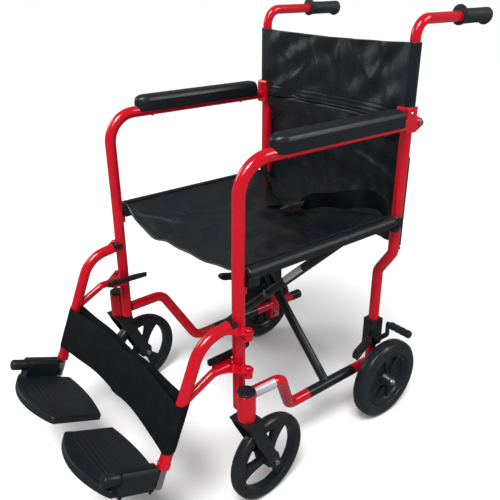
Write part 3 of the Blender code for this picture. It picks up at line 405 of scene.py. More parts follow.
# name: group, its numbers in the order of NUMBERS, how much darker the second tone is, the bump distance and
# the shader's own values
LOOKS = {
    "enamel": ("skin_grain", (260, 9, 0.16, 0.24), 0.86, 0.00003,
               {"Coat Weight": 0.7, "Coat Roughness": 0.05, "Specular IOR Level": 0.25}),
    "powder_coat": ("skin_grain", (700, 12, 0.26, 0.38), 0.7, 0.00005,
                    {"Coat Weight": 0.25, "Coat Roughness": 0.12, "Specular IOR Level": 0.35}),
    "moulded": ("skin_grain", (1500, 18, 0.26, 0.38), 0.75, 0.00006, {"Specular IOR Level": 0.38}),
    "pad_foam": ("skin_grain", (1100, 10, 0.3, 0.42), 0.75, 0.00008, {"Specular IOR Level": 0.42}),
    "tyre_rubber": ("skin_grain", (800, 26, 0.22, 0.34), 0.7, 0.00008, {"Specular IOR Level": 0.4}),
    "grip_rubber": ("skin_grain", (1400, 30, 0.42, 0.6), 0.75, 0.00015, {"Specular IOR Level": 0.4}),
    "zinc_plate": ("skin_grain", (1200, 40, 0.22, 0.38), 0.85, 0.00003, {"Metallic": 1.0}),
    "chrome": ("skin_grain", (400, 20, 0.05, 0.12), 0.95, 0.00001, {"Metallic": 1.0}),
    "label": ("skin_grain", (900, 60, 0.3, 0.4), 0.93, 0.00001, {"Metallic": 0.35}),
    "nylon": ("cloth_weave", (5200, 0.24, 0.36), 0.6, 0.00012, {"Specular IOR Level": 0.6}),
    "piping": ("cloth_weave", (3000, 0.4, 0.55), 0.7, 0.0001, {"Specular IOR Level": 0.3}),
    "webbing": ("strap_ribs", (2600, 0.55, 0.75), 0.6, 0.0002, {"Specular IOR Level": 0.15}),
}


def finish(look, cloth_plane="xy"):
    """A Principled material whose colour, roughness and bump come from the look's node group."""
    key = look + ("_" + cloth_plane if look == "nylon" else "")
    if key in FINISHES:
        return FINISHES[key]
    group, numbers, darker, bump, constants = LOOKS[look]
    colour = tuple(getattr(bpy.context.scene.wheelchair_colours, look))
    mat = bpy.data.materials.new(key)
    mat.use_nodes = True
    tree = mat.node_tree
    shader = tree.nodes["Principled BSDF"]
    for name, value in constants.items():
        shader.inputs[name].default_value = value
    skin = tree.nodes.new("ShaderNodeGroup")
    skin.node_tree = GROUPS[group]
    for name, value in zip(NUMBERS[group], numbers):
        skin.inputs[name].default_value = value
    skin.inputs["Tone A"].default_value = (*colour, 1)
    skin.inputs["Tone B"].default_value = (*[c * darker for c in colour], 1)
    place = tree.nodes.new("ShaderNodeTexCoord")
    turn = tree.nodes.new("ShaderNodeMapping")
    turn.inputs["Rotation"].default_value = (math.pi / 2 if cloth_plane == "xz" else 0, 0, 0)
    relief = tree.nodes.new("ShaderNodeBump")
    relief.inputs["Distance"].default_value = bump
    source = place.outputs["UV" if group == "strap_ribs" else "Object"]
    wire(tree, (source, turn.inputs["Vector"]), (turn.outputs["Vector"], skin.inputs["Vector"]),
         (skin.outputs["Colour"], shader.inputs["Base Color"]),
         (skin.outputs["Roughness"], shader.inputs["Roughness"]),
         (skin.outputs["Height"], relief.inputs["Height"]),
         (relief.outputs["Normal"], shader.inputs["Normal"]))
    FINISHES[key] = mat
    return mat


# ------------------------------------------------------------------ pieces
def add_piece(name, parts, look, body, stands_for=(), sign=1, bevel=0.0, uv=None, caster=False,
              cloth_plane="xy", thick=0.0, sharp=SMOOTH_BELOW):
    """Puts skins into one mesh with its place in its points, on the named body."""
    points, faces = together(parts)
    points = points * np.array([sign, 1, 1])
    if caster:
        stem = np.array([sign * HOUSING_X, HOUSING_Y, 0.0])
        c, s = math.cos(CASTER_TURN), math.sin(CASTER_TURN)
        points = (points - stem) @ np.array([[c, s, 0], [-s, c, 0], [0, 0, 1]]) + stem
    mesh = bpy.data.meshes.new(name)
    mesh.from_pydata((points + ORIGIN).tolist(), [], faces)
    if uv is not None:
        layer = mesh.uv_layers.new(name="strap")
        corner = np.zeros(len(mesh.loops), np.int32)
        mesh.loops.foreach_get("vertex_index", corner)
        layer.data.foreach_set("uv", np.asarray(uv, np.float32)[corner].ravel())
    bm = bmesh.new()
    bm.from_mesh(mesh)
    if thick == 0:
        bmesh.ops.recalc_face_normals(bm, faces=bm.faces)
    bm.to_mesh(mesh)
    bm.free()
    mesh.shade_smooth()
    mesh.set_sharp_from_angle(angle=math.radians(sharp))
    obj = place_piece(name, mesh, look, body, stands_for, cloth_plane)
    if thick:
        wall = obj.modifiers.new("cloth", "SOLIDIFY")
        wall.thickness, wall.offset = thick, 0
    if bevel:
        soften(obj, bevel).harden_normals = True
    return obj


def soften(obj, width):
    """Edges sharper than the bevel angle are broken by two small facets."""
    edge = obj.modifiers.new("edges", "BEVEL")
    edge.width, edge.segments, edge.limit_method = width, 2, "ANGLE"
    edge.angle_limit = math.radians(BEVEL_ABOVE)
    return edge


def place_piece(name, mesh, look, body, stands_for, cloth_plane="xy"):
    """Puts a mesh with its finish on the named body, in place of the frame nodes it stands for."""
    mesh.materials.append(finish(look, cloth_plane))
    obj = bpy.data.objects.new(name, mesh)
    bpy.context.scene.collection.objects.link(obj)
    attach(obj, body)
    if stands_for:
        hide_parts(*stands_for)
    return obj


def refine(node, look, bevel=0.0006):
    """A frame node with its triangles merged, its edges softened and its round faces smooth."""
    source = frame["nodes"][node]
    mesh = source.data.copy()
    bm = bmesh.new()
    bm.from_mesh(mesh)
    bmesh.ops.remove_doubles(bm, verts=bm.verts, dist=0.00001)
    bmesh.ops.dissolve_limit(bm, angle_limit=math.radians(1), verts=bm.verts, edges=bm.edges)
    bm.to_mesh(mesh)
    bm.free()
    mesh.shade_smooth()
    mesh.set_sharp_from_angle(angle=math.radians(SMOOTH_BELOW))
    mesh.materials.clear()
    soften(place_piece(node + "_look", mesh, look, source["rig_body"], [node]), bevel)


def hanger_ear(top):
    """Welded ear outside the upright, with the stud and flat head that a hanger plate turns on."""
    depth, stud_r, head_r, head_tall = 0.014, 0.004, 0.0068, 0.005
    outline = capsule((UPRIGHT_X + 0.006, UPRIGHT_Y), (PIN_X, PIN_Y), 0.0085)
    head = top + PLATE_T + 0.0006
    return [plate(lift(outline, "z", top - depth), Z_AXIS, depth),
            rod((PIN_X, PIN_Y, top - 0.004), (PIN_X, PIN_Y, head + 0.002), stud_r),
            rod((PIN_X, PIN_Y, head), (PIN_X, PIN_Y, head + head_tall), head_r)]


def side_frame(side, sign):
    """Painted tubes of one side: the upright and armrest, the lower rail and the rear post."""
    body = side + "_frame"
    arm = bent([(UPRIGHT_X, UPRIGHT_Y, UPRIGHT_BOTTOM), (UPRIGHT_X, UPRIGHT_Y, 0.560),
                (ARM_X, UPRIGHT_Y, ARM_Z), (ARM_X, CAST_FRONT - HAIRLINE, ARM_Z)], ARM_BEND)
    add_piece("arm_tube_" + side, [tube(arm, TUBE_R), *hanger_ear(PLATE_UPPER - HAIRLINE),
                                   *hanger_ear(PLATE_LOWER - HAIRLINE)], "enamel", body,
              ["side_tube_" + side], sign)
    rail = bent([*SHELF_ENDS, (LOW_X, UPRIGHT_Y + 0.180, LOW_Z), (LOW_X, SLEEVE_FRONT - HAIRLINE, LOW_Z)],
                TUBE_BEND)
    radii = [TUBE_R] * len(rail)
    steps = ((SLEEVE_FRONT, JOURNAL_R), (SLEEVE_REAR, JOURNAL_R), (SLEEVE_REAR + HAIRLINE, TUBE_R),
             (TIP_END - 0.006, TUBE_R))
    rail = np.concatenate([rail, [(LOW_X, y, LOW_Z) for y, r in steps]])
    radii += [r for y, r in steps]
    axle_block = block((LOW_X - 0.011, REAR_Y - 0.016, 0.089), (LOW_X + 0.011, REAR_Y + 0.016, LOW_Z))
    add_piece("lower_tube_" + side, [tube(rail, np.array(radii)), axle_block], "enamel", body,
              ["lower_rail_" + side], sign)
    boot = rod((LOW_X, TIP_END - BOOT_LENGTH, LOW_Z), (LOW_X, TIP_END, LOW_Z), BOOT_R, 0.003, 36)
    add_piece("tip_boot_" + side, [boot], "moulded", body, (), sign)
    post = bent([(LOW_X, REAR_Y, LOW_Z + 0.0075), (LOW_X, REAR_Y, JOG_LOW), (POST_X, POST_Y, JOG_TOP),
                 (POST_X, POST_Y, CAST_BOTTOM - HAIRLINE)], TUBE_BEND)
    stub = rod((POST_X, POST_Y + 0.008, JOG_TOP + 0.010), (POST_X, POST_Y + 0.021, JOG_TOP + 0.006), 0.005)
    add_piece("post_tube_" + side, [tube(post, TUBE_R, Y_AXIS), stub], "enamel", body, ["rear_post_" + side],
              sign)
    plug = rod((UPRIGHT_X, UPRIGHT_Y, UPRIGHT_BOTTOM - 0.003), (UPRIGHT_X, UPRIGHT_Y, UPRIGHT_BOTTOM),
               TUBE_R - 0.001)
    tab = block((UPRIGHT_X - 0.006, UPRIGHT_Y + 0.0122, 0.498),
                (UPRIGHT_X + 0.006, UPRIGHT_Y + 0.0165, 0.512))
    add_piece("tube_plug_" + side, [plug], "moulded", body, (), sign)
    add_piece("cradle_tab_" + side, [tab], "enamel", body, (), sign, bevel=0.0006)
    ring = rod((POST_X, POST_Y, SEAT_Z - 0.017), (POST_X, POST_Y, SEAT_Z + 0.010), TUBE_R + 0.0030, 0.0012)
    shelf = block((SEAT_X - 0.013, SEAT_REAR - 0.008, SEAT_Z - 0.021),
                  (SEAT_X + 0.013, POST_Y - 0.010, SEAT_Z - 0.012))
    add_piece("seat_saddle_" + side, [ring, shelf], "moulded", body, (), sign)
    heads = [dome((ARM_X, y, ARM_Z - TUBE_R + 0.0006), (0.25, 0, -1), 0.0042, 0.0026)
             for y in (-0.085, 0.180)]
    add_piece("pad_screws_" + side, heads, "zinc_plate", body, (), sign)


def label_skin(path, angles, radius, across=X_AXIS):
    """A thin blank label bent round a tube: an arc of a slightly larger circle, carried along the path."""
    along = unit(np.gradient(path, axis=0))
    side = unit(across - along * (along @ across)[:, None])
    up = np.cross(along, side)
    a = np.radians(np.linspace(*angles, 12))
    grids = []
    for r in (radius + 0.0004, radius + 0.0001):
        grids.append(path[:, None] + (side[:, None] * np.cos(a)[None, :, None]
                                      + up[:, None] * np.sin(a)[None, :, None]) * r)
    return slab(*grids)


def labels():
    """Blank labels on the two stepped rails and on one brace leg."""
    for side, sign in SIDES:
        t = np.linspace(0.22, 0.78, 8)[:, None]
        path = SHELF_ENDS[0] * (1 - t) + SHELF_ENDS[1] * t
        add_piece("rail_label_" + side, [label_skin(path, (-75, 60), TUBE_R)], "label", side + "_frame", (),
                  sign)
    low, high = np.array([-LOW_X, LEG_Y["b"], LOW_Z]), np.array([SEAT_X, LEG_Y["b"], SEAT_Z])
    t = np.linspace(0.60, 0.735, 8)[:, None]
    add_piece("leg_label", [label_skin(low * (1 - t) + high * t, (100, 215), SMALL_R, Y_AXIS)], "label",
              "leg_b")


def brace_leg(letter, side):
    """One brace leg: a sleeve round one lower rail, a seat rail on the other side and the leg between."""
    low, high = np.array([side * LOW_X, 0, LOW_Z]), np.array([-side * SEAT_X, 0, SEAT_Z])
    lean = unit(high - low)
    offset = Y_AXIS * LEG_Y[letter]
    leg = tube(np.linspace(low + offset + lean * 0.006, high + offset - lean * 0.004, 4), SMALL_R, Y_AXIS)
    sleeve = rod(low + Y_AXIS * SLEEVE_FRONT, low + Y_AXIS * SLEEVE_REAR, TUBE_R + 0.0002, 0.001, 40)
    rail = rod(high + Y_AXIS * SEAT_FRONT, high + Y_AXIS * SEAT_REAR, SMALL_R, 0.001, 32)
    add_piece("brace_leg_" + letter, [leg, sleeve, rail], "powder_coat", "leg_" + letter,
              ["cross_leg_" + letter])


def brace():
    """Both legs of the cross brace and the bolt between them."""
    brace_leg("a", 1)
    brace_leg("b", -1)
    refine("centre_bolt", "zinc_plate")


def rear_wheel(side, sign):
    """Moulded disc with radial ribs, a stepped rim and a smooth solid tyre."""
    centre, r = (REAR_X, REAR_Y, REAR_R), REAR_RIM
    disc = [(0.024, 0.0064), (0.024, 0.013), (0.015, 0.016), (0.004, 0.021), (0.004, r - 0.013),
            (0.010, r - 0.010),
            (0.0145, r - 0.005), (0.0145, r)]
    disc = smooth_profile(mirrored(disc), 0.0012, math.radians(30))
    spokes, count, thin = [], 8, 0.0014
    for k in range(count):
        a = 2 * math.pi * k / count + 0.2
        out, across = np.array([0, math.cos(a), math.sin(a)]), np.array([0, -math.sin(a), math.cos(a)])
        rows = []
        for radial, tall in ((0.014, 0.016), (0.024, 0.0110), (0.045, 0.0085), (r - 0.006, 0.0105)):
            rows.append([np.array(centre) + out * radial + X_AXIS * x + across * w
                         for x, w in ((-tall, -thin), (tall, -thin), (tall, thin), (-tall, thin))])
        spokes.append(rings(np.array(rows)))
    add_piece("wheel_disc_" + side, [lathe(disc, centre), *spokes], "moulded", "rear_wheel_" + side,
              ["rear_wheel_" + side], sign)
    w, top = REAR_HALF, REAR_R
    tread = [(w - 0.004, r + HAIRLINE), (w - 0.001, r + 0.006), (w, top - 0.016), (w - 0.003, top - 0.007),
             (w - 0.009, top - 0.0012)]
    tread = smooth_profile(mirrored(tread, [(0, top)]), 0.003, math.radians(20))
    add_piece("wheel_tyre_" + side, [lathe(tread, centre, 120)], "tyre_rubber", "rear_wheel_" + side,
              ["rear_tyre_" + side], sign)


def caster(side, sign):
    """Moulded caster wheel with a rounded tread, a stepped rim, a hub and three broad dished spokes."""
    centre, w, r = np.array([HOUSING_X, CASTER_Y, CASTER_R]), CASTER_HALF, CASTER_R
    tread = [(w - 0.002, r - 0.018), (w, r - 0.012), (w - 0.0025, r - 0.005), (w - 0.0075, r - 0.0010)]
    tread = smooth_profile(mirrored(tread, [(0, r)]), 0.003, math.radians(20))
    rim = smooth_profile(mirrored([(0.011, r - 0.025), (0.0135, r - 0.0175)]), 0.001, math.radians(30))
    hub = smooth_profile(mirrored([(0.024, 0.0045), (0.024, 0.015), (0.018, 0.019)]), 0.0012,
                         math.radians(30))
    spokes = []
    for k in range(3):
        a = math.radians(95 + 120 * k)
        out, across = np.array([0, -math.sin(a), math.cos(a)]), np.array([0, math.cos(a), math.sin(a)])
        v = np.linspace(0, 1, 14)
        radial, half = 0.014 + (r - 0.038) * v, 0.010 + 0.012 * v ** 2.5
        tall = 0.0075 - 0.0015 * np.sin(math.pi * v)
        section = smooth_profile(mirrored([(1, -1), (1, 1)]), 0.35, math.radians(20))
        ring = (centre + out * radial[:, None, None] + X_AXIS * (section[:, 0] * tall[:, None])[..., None]
                + across * (section[:, 1] * half[:, None])[..., None])
        spokes.append(rings(ring))
    add_piece("caster_tread_" + side, [lathe(tread, centre, 120)], "tyre_rubber", "caster_wheel_" + side,
              ["caster_wheel_" + side], sign, caster=True)
    add_piece("caster_spokes_" + side, [lathe(rim, centre, 120), lathe(hub, centre, 60), *spokes], "moulded",
              "caster_wheel_" + side, (), sign, caster=True)
    refine("caster_fork_" + side, "powder_coat", 0.0009)
    refine("caster_axle_" + side, "zinc_plate")
    refine("caster_housing_" + side, "enamel")
    refine("housing_cap_" + side, "moulded", 0.0012)
    washer = lathe(mirrored([(0.0012, 0.0095), (0.0012, 0.0165)]), (0, 0, 0), 48)
    flat = washer[0][:, [1, 2, 0]] + np.array([HOUSING_X, HOUSING_Y, HOUSING_BOTTOM + 0.0011])
    add_piece("housing_washer_" + side, [(flat, washer[1])], "zinc_plate", side + "_frame", (), sign)


def hanger_outline(inboard):
    """Outline of a hanger plate: round the pin, round the front of the upright, then out to the tube."""
    a = np.radians(np.linspace(-60, 130, 12))
    b = np.radians(np.linspace(-14, -164, 12))
    boss, clear = 0.0105, TUBE_R + 0.0012
    first = np.stack([PIN_X + boss * np.cos(a), PIN_Y + boss * np.sin(a)], -1)
    second = np.stack([UPRIGHT_X + clear * np.cos(b), UPRIGHT_Y + clear * np.sin(b)], -1)
    last = np.array([(inboard, UPRIGHT_Y - 0.005), (inboard, UPRIGHT_Y - 0.042),
                     (HANGER_X - 0.009, UPRIGHT_Y - 0.058),
                     (HANGER_X + 0.009, UPRIGHT_Y - 0.058), (HANGER_X + 0.016, UPRIGHT_Y - 0.036)])
    return np.concatenate([first, second, last])


def hanger(side, sign):
    """Swing-away hanger: the bent tube, its strut, two plates, the latch lever and the bumper."""
    z = PLATE_UPPER + PLATE_T
    run = (z - HANGER_END[2]) / -DOWN[2]
    elbow = HANGER_END - DOWN * (run - 0.008)
    path = bent([(HANGER_X, UPRIGHT_Y - 0.023, z + 0.002), elbow, HANGER_END], 0.070)
    foot = (PLATE_LOWER - 0.035 - HANGER_END[2]) / -DOWN[2]
    strut = bent([HANGER_END - DOWN * foot, (HANGER_X, UPRIGHT_Y - 0.062, PLATE_LOWER + 0.002),
                  (HANGER_X, UPRIGHT_Y - 0.026, PLATE_LOWER + 0.002)], 0.012)
    collar = [HANGER_END - DOWN * 0.012, HANGER_END - DOWN * 0.0005]
    parts = [tube(path, HANGER_R), tube(strut, 0.0085), rod(*collar, HANGER_R + 0.0012)]
    for level, inboard in ((PLATE_UPPER, 0.012), (PLATE_LOWER, 0.030)):
        parts.append(plate(lift(hanger_outline(HANGER_X - inboard), "z", level), Z_AXIS, PLATE_T))
    add_piece("hanger_tube_" + side, parts, "enamel", "hanger_" + side, ["hanger_" + side], sign)
    refine("hanger_bumper_" + side, "moulded")
    refine("release_lever_" + side, "moulded", 0.0012)


def footrest(side, sign):
    """Chrome stem and rod, and the black plate that turns on the rod."""
    foot, taper = HANGER_END + DOWN * 0.045, 0.003
    stem = tube([HANGER_END - DOWN * STEM_IN, foot - DOWN * taper, foot],
                np.array([STEM_R, STEM_R, STEM_R - taper]))
    peg = tube([ROD_BASE, ROD_BASE + FORE * 0.092], ROD_R)
    add_piece("stem_rod_" + side, [stem, peg], "chrome", "footrest_" + side, ["footrest_stem_" + side], sign)
    cap = tube([ROD_BASE + FORE * f for f in (0.0921, 0.0925, 0.122, 0.1245, 0.125)],
               np.array([0.0112, 0.0122, 0.0122, 0.0105, 0.0085]))
    add_piece("rod_cap_" + side, [cap], "moulded", "footrest_" + side, (), sign)

    # the deck: inner to outer across, its height a sum of smooth edges and lines
    inner, outer, level, thick = 0.026, ROD_X + 0.004, -0.0235, 0.014
    u, v = np.linspace(0, 1, 90)[:, None], np.linspace(0, 1, 130)[None, :]
    bow = np.sin(math.pi * u)
    x = inner + (outer - inner) * u + 0 * v
    notch = 1 / (1 + np.exp(-(x - 0.207) / 0.0012))
    rear = (-0.010 - 0.013 * bow ** 0.8) * (1 - notch) + 0.0180 * notch
    front = 0.099 + 0.034 * bow ** 0.75
    f = rear + (front - rear) * v
    border = np.minimum.reduce([(front - f), (f - rear), x - inner + 0 * f, 0.02 + 0 * f])
    crown = -0.0016 * np.exp(-(border / 0.0013) ** 2)
    ridge = 0.0012 / (1 + np.exp((front - f - 0.014) / 0.0012)) * (x < outer - 0.02)
    across_fade = 1 / (1 + np.exp(-(x - inner - 0.022) / 0.002)) / (1 + np.exp((x - outer + 0.042) / 0.002))
    pitch, first, lines = 0.0115, 0.002, 9
    phase = (f - first) / pitch
    line = np.abs(phase - np.round(phase)) * pitch
    inside = (np.round(phase) >= 0) & (np.round(phase) < lines)
    groove = -0.0011 * np.exp(-(line / 0.0011) ** 2) * across_fade * inside
    dots = [(inner + 0.016, first + pitch * k) for k in range(lines)]
    pits = sum(np.exp(-(((x - dx) ** 2 + (f - df) ** 2) / 0.0016 ** 2)) for dx, df in dots) * -0.0012
    height = level + crown + ridge + groove + pits
    base = np.stack([x, 0 * x + ROD_BASE[1], 0 * x + ROD_BASE[2]], -1) + FORE * f[..., None]
    deck = slab(base - DOWN * height[..., None], base - DOWN * (level - thick))
    # the barrel round the rod, whose outboard side hangs down as a skirt with two stops below it
    half = ROD_R + 0.0055
    section = smooth_profile([(-half, level - 0.005), (-half, 0.008), (-half + 0.006, half),
                              (half - 0.006, half),
                              (half, 0.008), (half, -0.032), (half - 0.004, -0.032),
                              (half - 0.006, level - 0.006)],
                             0.002, math.radians(20))

    def skirt(drop):
        """The barrel's section round the rod, with its skirt let down by drop."""
        ring = ROD_BASE + X_AXIS * section[:, :1] - DOWN * section[:, 1:]
        return ring - DOWN * (drop * (section[:, 1:] < -0.02))

    stations = ((0.014, -0.002), (0.0143, 0.0), (0.024, 0.0), (0.080, 0.0), (0.0914, 0.0), (0.0917, -0.002))
    barrel = rings(np.stack([skirt(d) + FORE * f0 for f0, d in stations]))
    stops = [plate([ROD_BASE + X_AXIS * (half - 0.004) + FORE * a - DOWN * b for a, b in
                    ((s, -0.028), (s + 0.008, -0.028), (s + 0.0055, -0.0375), (s + 0.0025, -0.0375))],
                   X_AXIS, 0.004) for s in (0.016, 0.082)]
    add_piece("foot_deck_" + side, [deck], "moulded", "footplate_" + side, ["footplate_" + side], sign,
              sharp=50)
    add_piece("foot_barrel_" + side, [barrel, *stops], "moulded", "footplate_" + side, (), sign)


def back_tube(side, sign):
    """Cane of the folding back with its pivot lug, its rubber grip, casting and lock lever."""
    path = bent([(POST_X, POST_Y, CAST_BOTTOM + 0.0083), (POST_X, POST_Y, CANE_TOP),
                 (POST_X, GRIP_END - 0.010, CANE_TOP)], CANE_BEND)
    outline = capsule((POST_Y, BACK_Z), (BACK_Y, BACK_Z), 0.0085)
    lug = plate(lift(outline, "x", POST_X - 0.009), X_AXIS, 0.018)
    add_piece("cane_tube_" + side, [tube(path, CANE_R), lug], "enamel", "back_" + side, ["cane_" + side],
              sign)

    # the grip: its radius is the sum of a thumb stop, a hook, a waist and fine beads
    y = np.concatenate([np.linspace(GRIP_FRONT - 0.001, GRIP_END - 0.005, 90),
                        GRIP_END - 0.005 * np.cos(np.linspace(0.1, math.pi / 2, 10))])[:, None]
    a = np.linspace(0, 2 * math.pi, 56, endpoint=False)[None, :]
    up, under = np.clip(np.sin(a), 0, 1), np.clip(-np.sin(a), 0, 1)
    front = np.exp(-np.clip((y - GRIP_FRONT - 0.002) / 0.0075, 0, 9) ** 2)
    hook = np.exp(-((y - GRIP_END + 0.013) / 0.0085) ** 2)
    waist = -0.0006 * np.sin(math.pi * np.clip((y - GRIP_FRONT) / 0.11, 0, 1)) ** 2
    beads = 0.00035 * np.sin(2 * math.pi * y / 0.0032) * np.sin(a * 18) * (1 - front)
    r = GRIP_R + 0.0011 + waist + front * (0.0024 + 0.0062 * up ** 1.5) + hook * 0.0050 * under ** 1.2 + beads
    r = r - 0.0016 * np.exp(-((y - GRIP_FRONT - 0.0135) / 0.0012) ** 2)
    tail = np.clip((y - (GRIP_END - 0.005)) / 0.005, 0, 1)
    r = r * np.sqrt(np.clip(1 - 0.86 * tail ** 2, 0.02, 1))
    r[0] = CANE_R + HAIRLINE
    grip = np.stack([POST_X + r * np.cos(a), y + 0 * a, CANE_TOP + r * np.sin(a)], -1)
    add_piece("hand_grip_" + side, [rings(grip)], "grip_rubber", "back_" + side, ["grip_" + side], sign,
              sharp=60)
    refine("hinge_casting_" + side, "enamel", 0.0010)
    refine("back_lever_" + side, "zinc_plate")
    tip = rod((POST_X - 0.0225, BACK_Y + 0.022, BACK_Z - 0.006),
              (POST_X - 0.0155, BACK_Y + 0.034, BACK_Z - 0.009), 0.0066)
    add_piece("lever_tip_" + side, [tip], "moulded", "back_lever_" + side, (), sign)
    screw = dome((POST_X + 0.0156, POST_Y - 0.004, ARM_Z + 0.022), (1, 0, 0), 0.0045, 0.0026)
    add_piece("casting_screw_" + side, [screw], "zinc_plate", side + "_frame", (), sign)


def arm_pad(side, sign):
    """Armrest pad: a chamfered section whose width follows a half circle at the nose, with a soft crown."""
    round_front, round_rear = 0.030, 0.006
    y = np.concatenate([PAD_FRONT + round_front * (1 - np.cos(np.linspace(0.08, math.pi / 2, 22))),
                        np.linspace(PAD_FRONT + 0.035, PAD_REAR - round_rear, 24),
                        PAD_REAR - round_rear + round_rear * np.sin(np.linspace(0.15, math.pi / 2, 8))])
    nose = np.clip((PAD_FRONT + round_front - y) / round_front, 0, 1)
    tail = np.clip((y - PAD_REAR + round_rear) / round_rear, 0, 1)
    width = np.sqrt(1 - nose ** 2 * 0.9975) * (1 - 0.10 * tail ** 2)
    top = 1 - 0.34 * (1 - np.sqrt(1 - nose ** 2 * 0.98)) - 0.14 * tail ** 3
    half, drop, tall = PAD_HALF, 0.0115, PAD_TOP - PAD_BOTTOM
    section = [(half - 0.001, 0), (half, tall - drop), (half - 0.0035, tall - 0.0045),
               (half - 0.0085, tall - 0.0008)]
    section = smooth_profile(mirrored(section, [(0, tall)]), 0.0024, math.radians(12))
    skin = np.stack([ARM_X + section[:, 0] * width[:, None], y[:, None] + 0 * section[:, 0],
                     PAD_BOTTOM + section[:, 1] * top[:, None]], -1)
    obj = add_piece("arm_cushion_" + side, [rings(skin)], "pad_foam", side + "_frame", ["arm_pad_" + side],
                    sign, sharp=60)


def fittings(side):
    """Small hard pieces that keep the frame's own shape."""
    for node, look, bevel in (("seat_cradle", "moulded", 0.0010), ("rear_axle", "zinc_plate", 0.0006),
                              ("brake_bracket", "powder_coat", 0.0008),
                              ("brake_handle", "powder_coat", 0.0010),
                              ("brake_shoe", "moulded", 0.0006)):
        refine(node + "_" + side, look, bevel)


# ------------------------------------------------------------------ upholstery
def sling_section(half, radius, wrap, count):
    """Distances across and depths of a sling: an arc round each rail, joined by a span. The third column
    is how far the point lies into the span, 0 on the rails and 1 at the middle, for the sag."""
    a = np.radians(np.linspace(270 - wrap, 90, 18))
    left = np.stack([-half + radius * np.cos(a), -radius * np.sin(a)], -1)
    x = np.linspace(-half, half, count)[1:-1]
    span = np.stack([x, np.full_like(x, -radius)], -1)
    right = left[::-1] * np.array([-1, 1])
    flat = np.concatenate([left, span, right])
    into = np.clip(1 - np.abs(flat[:, 0]) / half, 0, 1) * (flat[:, 1] <= -radius * 0.999)
    return flat[:, 0], flat[:, 1], into


def groove(distance, width, depth):
    """A sewn line: a narrow Gaussian dip across the distance from the line."""
    return depth * np.exp(-(distance / width) ** 2)


def wrinkles(a, b, seed, amount):
    """Soft folds: a few sine waves of different headings whose phases come from a fixed seed."""
    dice = np.random.default_rng(seed)
    total = np.zeros(np.broadcast(a, b).shape)
    for _ in range(9):
        heading, wave, phase = dice.uniform(0, math.pi), dice.uniform(0.03, 0.11), dice.uniform(0, 6.28)
        total += np.sin((a * math.cos(heading) + b * math.sin(heading)) * 2 * math.pi / wave + phase) * wave
    return total * amount


def pull_folds(a, b, folds):
    """Creases that fade with length: each is a Gaussian ridge square to a line along its heading."""
    total = np.zeros(np.broadcast(a, b).shape)
    for start_a, start_b, heading, reach, width, height in folds:
        c, s = math.cos(math.radians(heading)), math.sin(math.radians(heading))
        along = (a - start_a) * c + (b - start_b) * s
        across = (b - start_b) * c - (a - start_a) * s + 0.004 * np.sin(along / reach * 5)
        fade = np.clip(along / reach, 0, 1)
        total += height * np.exp(-(across / (width * (0.6 + fade))) ** 2) * np.sin(math.pi * fade) ** 0.7
    return total


def seat_sling():
    """Seat: a sling sleeved on both rails, deepest at its slack front edge, with seams beside the rails."""
    shape = bpy.context.scene.wheelchair_shape
    x, depth, into = sling_section(SEAT_X, SMALL_R + SLEEVE_CLOTH, 60, 84)
    v = np.linspace(0, 1, 96)[:, None]
    y = (SEAT_FRONT + 0.002) * (1 - v) + (SEAT_REAR - 0.006) * v
    middle_in = 1 - (1 - into) ** 2
    u = x / SEAT_X
    slack = (1 - np.abs(u) ** 8) * 0.72 + np.exp(-((u + 0.52) / 0.28) ** 2)
    slack = shape.front_slack * np.exp(-(v / 0.13)) * slack * np.clip(into * 7, 0, 1)
    sag = shape.seat_sag * middle_in * (0.82 + 0.18 * np.cos((v - 0.35) * 3)) + slack
    off = np.abs(x) - SEAT_X
    seams = groove(off + 0.030, 0.0016, 0.0012) + groove(off + 0.036, 0.0014, 0.0008)
    seams = seams + groove(np.abs(x) - 0.075, 0.0016, 0.0008)
    hem = groove(y - SEAT_FRONT - 0.016, 0.0016, 0.0009)
    folds = wrinkles(x[None, :], y, 7, shape.wrinkle) * np.clip(into * 6, 0, 1)
    folds = folds + pull_folds(x[None, :], y, SEAT_FOLDS) * np.clip(into * 5, 0, 1)
    skin = np.stack([x + 0 * v, y + 0 * x, SEAT_Z - depth - sag - seams - hem + folds], -1)
    cloth = (skin.reshape(-1, 3), grid_faces(*skin.shape[:2]))
    obj = add_piece("seat_cloth", [cloth], "nylon", "seat_sling", ["seat"], thick=0.0022, sharp=80)
    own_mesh(obj)
    for side, sign in SIDES:
        line = np.stack([np.full(40, sign * (SEAT_X - 0.0105)),
                         np.linspace(SEAT_FRONT + 0.003, SEAT_REAR - 0.008, 40),
                         np.full(40, SEAT_Z + SMALL_R + 0.0020)], -1)
        piece = add_piece("seat_piping_" + side, [tube(line, 0.0017, sides=12)], "piping", "seat_sling")
        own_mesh(piece)


